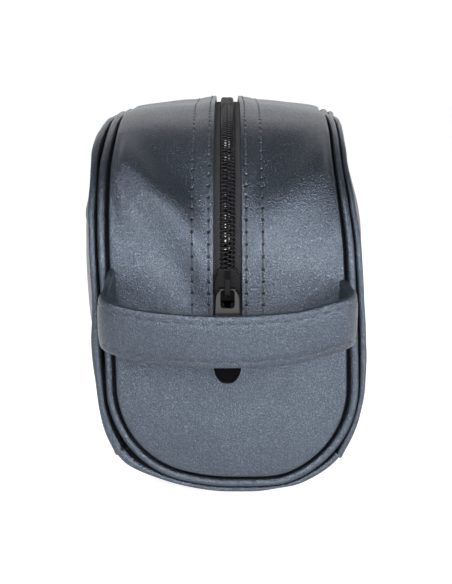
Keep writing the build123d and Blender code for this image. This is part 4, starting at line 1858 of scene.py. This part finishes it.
@dataclass
class Strap:
    """Padded strap handle, sewn into the front seam at both ends."""

    pivot_y: float = -115.5
    pivot_z: float = 69.0
    droop_deg: float = 8.0
    width: float = 19.3
    thickness: float = 3.4
    root_x: float = 42.0
    lead: float = 13.0
    outward_deg: float = 12.0
    turn_radius: float = 10.0
    inward_deg: float = 68.0
    spacing: float = 1.5
    stitch_row: float = 6.9
    stitch_pitch: float = 4.7
    swing_radius: float = 11.0
    sides: int = 44
    edge_power: float = 0.42
    face_power: float = 0.62
    pad: float = 0.10
    pad_rows: float = 8.0
    groove_depth: float = 0.16
    groove_width: float = 0.7
    sag: Swell = Swell(-4.0, -1.05, 30.0)
    right_rise: Climb = Climb(2.3, 22.0, 22.0)
    left_rise: Climb = Climb(1.1, 30.0, 14.0)
    root_rise: Climb = Climb(6.2, -121.0, 12.0)
    right_root_share: float = 0.1

    def middle_line(self) -> list[tuple[Vector, Vector]]:
        """Points of the strap's middle line in plan with the way out of its face."""
        splay = math.radians(self.outward_deg)
        heading = Vector((math.sin(splay), -math.cos(splay), 0))
        sideways = Vector((math.cos(splay), math.sin(splay), 0))
        root = Vector((self.root_x, FORM.end_y + 1.0, 0))
        center = root + heading * self.lead - sideways * self.turn_radius
        rest = math.radians(90 - self.inward_deg)
        total = math.radians(self.outward_deg + self.inward_deg)
        joint = center + Vector((math.cos(splay - total), math.sin(splay - total), 0)) * self.turn_radius
        far_radius = joint.x / math.sin(rest)
        far_center = Vector((0, joint.y + far_radius * math.cos(rest), 0))
        line: list[tuple[Vector, Vector]] = []
        lengths = (self.lead, self.turn_radius * total, far_radius * rest)
        for index, length in enumerate(lengths):
            count = max(int(length / self.spacing), 3)
            for i in range(count):
                t = i / count
                if index == 0:
                    line.append((root + heading * (length * t), sideways))
                elif index == 1:
                    out = Vector((math.cos(splay - total * t), math.sin(splay - total * t), 0))
                    line.append((center + out * self.turn_radius, out))
                else:
                    angle = math.radians(-self.inward_deg) - rest * t
                    out = Vector((math.cos(angle), math.sin(angle), 0))
                    line.append((far_center + out * far_radius, out))
        line.append((far_center + Vector((0, -far_radius, 0)), Vector((0, -1, 0))))
        left = [(Vector((-p.x, p.y, 0)), Vector((-n.x, n.y, 0))) for p, n in reversed(line[:-1])]
        return line + left

    def settle(self, p: Vector) -> Vector:
        """Turns a level point down about the line through the sewn ends, and lets the strap hang unevenly.

        Args:
            p: Point of the level strap.

        Returns:
            The place on the pouch.
        """
        turn = Matrix.Rotation(math.radians(self.droop_deg), 3, "X")
        base = Vector((0, self.pivot_y, 0))
        rise = self.right_rise.at(p.x) + self.left_rise.at(-p.x)
        root = self.root_rise.at(p.y) * (1.0 if p.x < 0 else self.right_root_share)
        height = self.pivot_z + self.sag.at(p.x) + rise + root
        return turn @ (p - base) + Vector((0, self.pivot_y, height))

    def section(self, turn: float, swell: float) -> tuple[float, float]:
        """Cross-section: turned edges, and a pad between the stitch rows.

        Args:
            turn: How far round the section, in radians.
            swell: Share of the pad's height.

        Returns:
            Distance out of the strap's middle line, and distance across it.
        """
        half_w, half_t = self.width / 2, self.thickness / 2
        c, s = math.cos(turn), math.sin(turn)
        across = math.copysign(abs(c) ** self.edge_power, c) * half_w
        out = math.copysign(abs(s) ** self.face_power, s) * half_t
        groove = Swell(self.stitch_row, 1.0, self.groove_width).at(abs(across))
        pad = 1.0 + self.pad * swell * math.cos(across / half_w * math.pi / 2)
        return out * (pad - self.groove_depth * groove), across

    def face_height(self, across: float) -> float:
        """Height of the strap's face over its middle line.

        Args:
            across: Distance across the strap from its middle.

        Returns:
            The height, found by halving the turn's range.
        """
        low, high = 0.001, math.pi / 2
        halvings = 24
        for _ in range(halvings):
            turn = (low + high) / 2
            if self.section(turn, 1.0)[1] > abs(across):
                low = turn
            else:
                high = turn
        return self.section((low + high) / 2, 1.0)[0]

    def build(self) -> bpy.types.Object:
        """Sweeps the strap along its line and turns it down."""
        line = self.middle_line()

        def outline(row: int, turn: float) -> tuple[float, float]:
            """Section whose pad grows from the ends."""
            end = min(row, len(line) - 1 - row) / self.pad_rows
            return self.section(turn, ease(end))

        up = [Vector((0, 0, 1))] * len(line)
        bm = tube([p for p, _ in line], [n for _, n in line], up, outline, self.sides, False)
        piece = finish_mesh(bm, "strap_skin", self.settle, levels=1)
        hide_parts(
            "handle_front_cover",
            "handle_back_cover",
            "handle_filler",
            "handle_end_left",
            "handle_end_right",
        )
        return piece


# Zipper


@dataclass
class Coil:
    """One coil of the zipper: a flattened spiral of nylon whose heads lock into the other coil's."""

    hand: Hand
    pitch: float = 1.62
    root: float = 2.9
    reach: float = 0.6
    middle: float = 3.7
    tall: float = 2.2
    wire: float = 0.33
    front: float = -5.4
    back_drop: float = 15.0
    parted: float = 1.5
    parting_end: float = 2.4
    parting_length: float = 3.3
    slant: float = 0.14
    square: float = 0.7
    head_swell: float = 0.25
    points: int = 12
    sides: int = 6

    def parting(self, distance: float) -> float:
        """How far a tooth stands off its meshed place, beside the slider's wedge and past it."""
        return self.parted * min(max((self.parting_end - distance) / self.parting_length, 0.0), 1.0)

    def line(self) -> list[Vector]:
        """Points of the spiral in the flat pattern."""
        side = self.hand.value
        start = self.front - self.pitch / 2 + (0.0 if side > 0 else self.pitch / 2)
        turns = int((FORM.zipper_length(self.middle) + self.back_drop - start) / self.pitch)
        reach = (self.root + self.reach) / 2 - self.wire
        rise = self.tall / 2 - self.wire
        found = []
        for index in range(turns * self.points + 1):
            turn = index / self.points
            angle = TAU * (turn % 1.0)
            distance = start + self.pitch * (turn + self.slant * math.sin(angle))
            c, s = math.cos(angle), math.sin(angle)
            x = (self.root - self.reach) / 2 + math.copysign(abs(c) ** self.square, c) * reach
            v = self.middle + math.copysign(abs(s) ** self.square, s) * rise
            x += self.parting(distance)
            found.append(Vector((side * x, FORM.flat_place(distance, self.middle), v)))
        return found

    def build(self) -> bpy.types.Object:
        """Sweeps the nylon along its spiral, with the heads pressed a little wider."""
        line = self.line()
        along = Vector((0, 1, 0))
        out = []
        for index in range(len(line)):
            before, after = line[max(index - 1, 0)], line[min(index + 1, len(line) - 1)]
            out.append((after - before).cross(along).normalized())

        def outline(row: int, turn: float) -> tuple[float, float]:
            """Round section, wider at the heads."""
            head = 0.5 - 0.5 * math.cos(TAU * (row / self.points % 1.0))
            wide = self.wire * (1.0 + self.head_swell * head**4)
            return wide * math.cos(turn), self.wire * math.sin(turn)

        bm = tube(line, [along] * len(line), out, outline, self.sides, False)
        name = self.hand.name.lower()
        piece = finish_mesh(bm, f"{name}_coil_skin", FORM.wrap)
        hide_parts(f"zipper_coil_{name}")
        return piece


@dataclass
class Tape:
    """Woven tape of one coil, stitched under the slot's hem."""

    hand: Hand
    inner: float = 1.25
    outer: float = 14.6
    top: float = 2.6
    thickness: float = 0.6
    end_z: float = 55.0
    cord: Swell = Swell(3.6, 0.14, 0.5)
    columns: int = 10
    spacing: float = 2.2

    def build(self, coil: Coil) -> bpy.types.Object:
        """Models the tape flat, drawn aside where its coil is parted.

        Args:
            coil: The tape's coil.

        Returns:
            The tape.
        """
        low = self.end_z - FORM.rise
        length = FORM.whole_path - 2 * low
        rows = int(length / self.spacing)

        def place(column: int, row: int) -> Vector:
            """Place of a crossing, with the cord's ridge beside the coil."""
            share = column / (self.columns - 1)
            s = low + length * row / (rows - 1)
            drawn = coil.parting(s - FORM.upright) * (1 - share) ** 2
            x = self.inner + (self.outer - self.inner) * share + drawn
            return Vector((self.hand.value * x, s, self.top + self.cord.at(x)))

        bm = grid_mesh(self.columns, rows, place)
        face_flat_up(bm)
        name = self.hand.name.lower()
        piece = finish_mesh(bm, f"{name}_tape_skin", FORM.wrap, thickness=self.thickness, recalc=False)
        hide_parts(f"zipper_tape_{name}")
        return piece


# Stitches


@dataclass
class Stitches:
    """Rows of machine stitches, each a short thread that dips at both ends."""

    length: float = 3.2
    radius: float = 0.34
    arch: float = 0.3
    blunt: float = 0.6
    flat: float = 0.8
    band_lift: float = 0.12
    strap_lift: float = 0.04
    strap_end: float = 6.0

    def thread(self) -> bpy.types.Mesh:
        """One stitch along y, at the origin."""
        bm = bmesh.new()
        bmesh.ops.create_uvsphere(bm, u_segments=8, v_segments=6, radius=1.0)
        turn = Matrix.Rotation(math.pi / 2, 3, "X")
        bmesh.ops.rotate(bm, verts=bm.verts, cent=(0, 0, 0), matrix=turn)
        for vertex in bm.verts:
            y = math.copysign(abs(vertex.co.y) ** self.blunt, vertex.co.y)
            vertex.co.y = y * self.length / 2
            vertex.co.x *= self.radius
            vertex.co.z = vertex.co.z * self.radius * self.flat - self.arch * y * y
        mesh = bpy.data.meshes.new("stitch")
        bm.to_mesh(mesh)
        bm.free()
        return mesh

    def on_band(self, band: BandPanel) -> bpy.types.Object:
        """Stitches that hold the hems and tapes, two rows on each side of the slot.

        Args:
            band: The panel that they lie on.

        Returns:
            The stitches.
        """
        whole = bmesh.new()
        template = self.thread()
        first = math.ceil(FORM.slot_start / band.stitch_pitch)
        last = math.floor((FORM.whole_path - FORM.slot_start) / band.stitch_pitch)
        places = [
            (side * row, index * band.stitch_pitch)
            for side in (-1, 1)
            for row in band.stitch_rows
            for index in range(first, last + 1)
        ]
        for x, middle in places:

            def move(p: Vector) -> Vector:
                """Point of the stitch on the leather's face."""
                s = middle + p.y
                return Vector((x + p.x, s, band.height(x, s) + p.z + self.band_lift))

            stamp(template, whole, move)
        bpy.data.meshes.remove(template)
        return finish_mesh(whole, "band_stitches", FORM.wrap)

    def on_strap(self, strap: Strap) -> bpy.types.Object:
        """Stitches along both edges of the strap.

        Args:
            strap: The strap that they lie on.

        Returns:
            The stitches.
        """
        whole = bmesh.new()
        template = self.thread()
        line = strap.middle_line()
        lengths = [0.0]
        for before, after in zip(line, line[1:]):
            lengths.append(lengths[-1] + (after[0] - before[0]).length)
        count = int((lengths[-1] - 2 * self.strap_end) / strap.stitch_pitch)
        for row in (-strap.stitch_row, strap.stitch_row):
            lift = strap.face_height(row) + self.strap_lift
            for index in range(count):
                at = self.strap_end + strap.stitch_pitch * (index + 0.5)
                k = max(i for i, way in enumerate(lengths) if way <= at)
                start, out = line[k]
                ahead = (line[k + 1][0] - start).normalized()
                middle = start + ahead * (at - lengths[k])

                def move(p: Vector) -> Vector:
                    """Point of the stitch on the strap's face."""
                    return middle + ahead * p.y + out * (lift + p.z) + Vector((0, 0, row + p.x))

                stamp(template, whole, move)
        bpy.data.meshes.remove(template)
        return finish_mesh(whole, "strap_stitches", strap.settle)


# Studio


@dataclass(frozen=True)
class Lamp:
    """Soft square lamp, in metres and watts."""

    name: str
    place: tuple
    size: float
    power: float

    def build(self, aim: Vector) -> None:
        """Hangs the lamp.

        Args:
            aim: Place that it is turned to.
        """
        data = bpy.data.lights.new(self.name, "AREA")
        data.shape = "SQUARE"
        data.size = self.size
        data.energy = self.power
        lamp = bpy.data.objects.new(self.name, data)
        bpy.context.scene.collection.objects.link(lamp)
        lamp.location = self.place
        lamp.rotation_euler = (aim - Vector(self.place)).to_track_quat("-Z", "Y").to_euler()


@dataclass(frozen=True)
class Surroundings:
    """White surroundings with a dim patch overhead, towards the front, and dimmer flanks.

    The dim parts are shares of the white part, and a reach is where a part starts and is whole.
    """

    strength: float = 1.03
    ceiling: float = 0.06
    ceiling_way: tuple = (0, -0.6, 0.8)
    ceiling_reach: tuple = (0.08, 0.5)
    flanks: float = 0.35
    flanks_reach: tuple = (0.35, 0.85)

    def build(self) -> None:
        """Makes the world's nodes."""
        world = bpy.context.scene.world or bpy.data.worlds.new("studio")
        bpy.context.scene.world = world
        world.use_nodes = True
        made = Nodes(world.node_tree)
        way = made.node("ShaderNodeTexCoord").out("Generated")
        white = rgb(1.0, 1.0, 1.0)
        dim = rgb(self.ceiling, self.ceiling, self.ceiling * 1.05)
        overhead = made.dot(way, Vector(self.ceiling_way).normalized())
        patch = made.ramp(overhead, (self.ceiling_reach[0], white), (self.ceiling_reach[1], dim))
        aside = made.dot(way, Vector((1, 0, 0))).absolute()
        dim = rgb(self.flanks, self.flanks, self.flanks)
        flank = made.ramp(aside, (self.flanks_reach[0], white), (self.flanks_reach[1], dim))
        settings = {"data_type": "RGBA", "blend_type": "MULTIPLY"}
        both = made.node("ShaderNodeMix", settings, {0: 1.0, 6: patch, 7: flank}).out(2)
        background = made.tree.nodes["Background"]
        made.tree.links.new(both.socket, background.inputs[0])
        background.inputs[1].default_value = self.strength


@dataclass(frozen=True)
class PhotoCamera:
    """The photograph's camera, fitted to the picture: its place is in millimetres."""

    place: tuple = (-0.55, -582.4, 160.1)
    tilt_deg: float = 80.0
    focal_px: float = 1300.0
    image_height_px: int = 584
    sensor: float = 36.0

    def build(self) -> None:
        """Places the camera."""
        data = bpy.data.cameras.new("camera")
        data.lens = self.focal_px * self.sensor / self.image_height_px
        data.sensor_width = self.sensor
        data.clip_start = 0.01
        data.clip_end = 50.0
        camera = bpy.data.objects.new("camera", data)
        bpy.context.scene.collection.objects.link(camera)
        camera.location = Vector(self.place) * MM
        camera.rotation_euler = (math.radians(self.tilt_deg), 0, 0)
        bpy.context.scene.camera = camera


def studio() -> None:
    """Pale floor, soft lights, and the camera at the photograph's place."""
    size, drop = 9000, -0.5
    ground = grid_mesh(2, 2, lambda c, r: Vector(((c - 0.5) * size, (r - 0.5) * size, drop)))
    floor = finish_mesh(ground, "floor", smooth=False)
    floor.data.materials.append(PaleFloor().material())
    bpy.context.scene.view_settings.view_transform = "Standard"
    bpy.context.scene.view_settings.gamma = 0.92
    Surroundings().build()
    aim = Vector((0, -0.09, 0.06))
    Lamp("front_lamp", place=(0.16, -1.25, 0.34), size=0.5, power=10.5).build(aim)
    Lamp("right_lamp", place=(1.0, -0.6, 0.30), size=0.4, power=8.0).build(aim)
    Lamp("left_lamp", place=(-0.50, -0.92, 0.76), size=0.4, power=9.5).build(aim)
    PhotoCamera().build()


def as_sheet(piece: bpy.types.Object, held: str, *rests_on: str) -> None:
    """Reads the size that a piece was cut to from its flat pattern map.

    Args:
        piece: The sheet.
        held: Not used.
        rests_on: Not used.
    """
    chart = piece.data.uv_layers["UVMap"].data
    across = [c.uv.x for c in chart]
    along = [c.uv.y for c in chart]
    area = 0.0
    for polygon in piece.data.polygons:
        corners = [chart[i].uv for i in polygon.loop_indices]
        turns = zip(corners, corners[1:] + corners[:1])
        area += abs(sum(a.x * b.y - b.x * a.y for a, b in turns)) / 2
    width, length = max(across) - min(across), max(along) - min(along)
    area = min(area, width * length)


def build_band(leather: PearlLeather) -> None:
    """Band, its lining, stitches and piping.

    Args:
        leather: The leather.
    """
    maker = BandPanel()
    band = maker.build()
    rows = tuple(row * MM for row in maker.stitch_rows)
    finish = leather.material("band_leather", 0.0, rows, maker.stitch_pitch * MM)
    dress(band, finish, "bag")
    as_sheet(band, "stretched", "piping_skin")
    lining = maker.lining()
    dress(lining, LiningCloth("band_lining_cloth").material(), "bag")
    as_sheet(lining, "stretched", "band_skin")
    stitches = Stitches().on_band(maker)
    dress(stitches, Thread().material(), "bag")
    piping = Piping().build()
    dress(piping, leather.material("piping_leather", 1.0), "bag")
    cord = Piping().inner_run("piping_cord_yarn", "piping_cord", wide=1.0, tall=1.0, height=0.0)
    dress(cord, LiningCloth("cord_yarn", rgb(0.10, 0.10, 0.10)).material(), "bag")
    binding = Piping().inner_run("seam_binding_skin", "seam_binding", wide=1.2, tall=2.0, height=-5.2)
    tape = LiningCloth("binding_cloth", rgb(0.015, 0.015, 0.018)).material()
    dress(binding, tape, "bag")
    for piece in (band, lining, stitches, piping, cord, binding):
        log.info("%s: %d faces", piece.name, len(piece.data.polygons))


def build_body(leather: PearlLeather) -> None:
    """Side panels, bottom panel and their linings.

    Args:
        leather: The leather.
    """
    panels = BodyPanels()
    for side in (LEFT, RIGHT):
        skin = panels.side_panel(side)
        dress(skin, leather.material(f"{side.name}_leather", side.seed), "bag")
        as_sheet(skin, "stretched", "piping_skin")
        log.info("%s side: %d faces", side.name, len(skin.data.polygons))
    bottom = panels.bottom_panel()
    dress(bottom, leather.material("bottom_leather", 5.0), "bag")
    as_sheet(bottom, "stretched", "piping_skin")
    for name in ("left_lining_skin", "right_lining_skin", "bottom_lining_skin"):
        as_sheet(bpy.data.objects[name], "stretched", "bottom_skin")


def build_strap(leather: PearlLeather) -> None:
    """Strap and its stitches, sewn in at their ends.

    Args:
        leather: The leather.
    """
    maker = Strap()
    strap = maker.build()
    paint(strap, leather.material("strap_leather", 7.0))
    stitches = Stitches().on_strap(maker)
    paint(stitches, Thread().material())
    for piece in (strap, stitches):
        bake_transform(piece)
        log.info("%s: %d faces", piece.name, len(piece.data.polygons))


def build_zipper() -> None:
    """Coils and tapes of the zipper."""
    nylon = BlackGloss("coil_nylon", tint=rgb(0.010, 0.010, 0.012), rough=0.16, coat=0.3).material()
    twill = BlackTape().material()
    for hand in Hand:
        coil = Coil(hand)
        spiral = coil.build()
        dress(spiral, nylon, "bag")
        tape = Tape(hand).build(coil)
        dress(tape, twill, "bag")
        as_sheet(tape, "stretched", "band_skin")
        log.info("%s zipper side: %d faces", hand.name.lower(), len(spiral.data.polygons))


def finish_nodes() -> None:
    """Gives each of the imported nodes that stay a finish."""
    gloss = BlackGloss("slider_gloss").material()
    for name in ("slider_body", "slider_bridge", "puller", "zipper_top_stops", "zipper_bottom_stop"):
        paint(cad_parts[name], gloss)
        log.info("%s: finished", name)


def main() -> None:
    """Builds every sub-assembly and dresses the nodes that stay."""
    logging.basicConfig(level=logging.INFO)
    leather = PearlLeather()
    build_band(leather)
    build_body(leather)
    build_strap(leather)
    build_zipper()
    finish_nodes()
    studio()


if __name__ == "__main__":
    main()
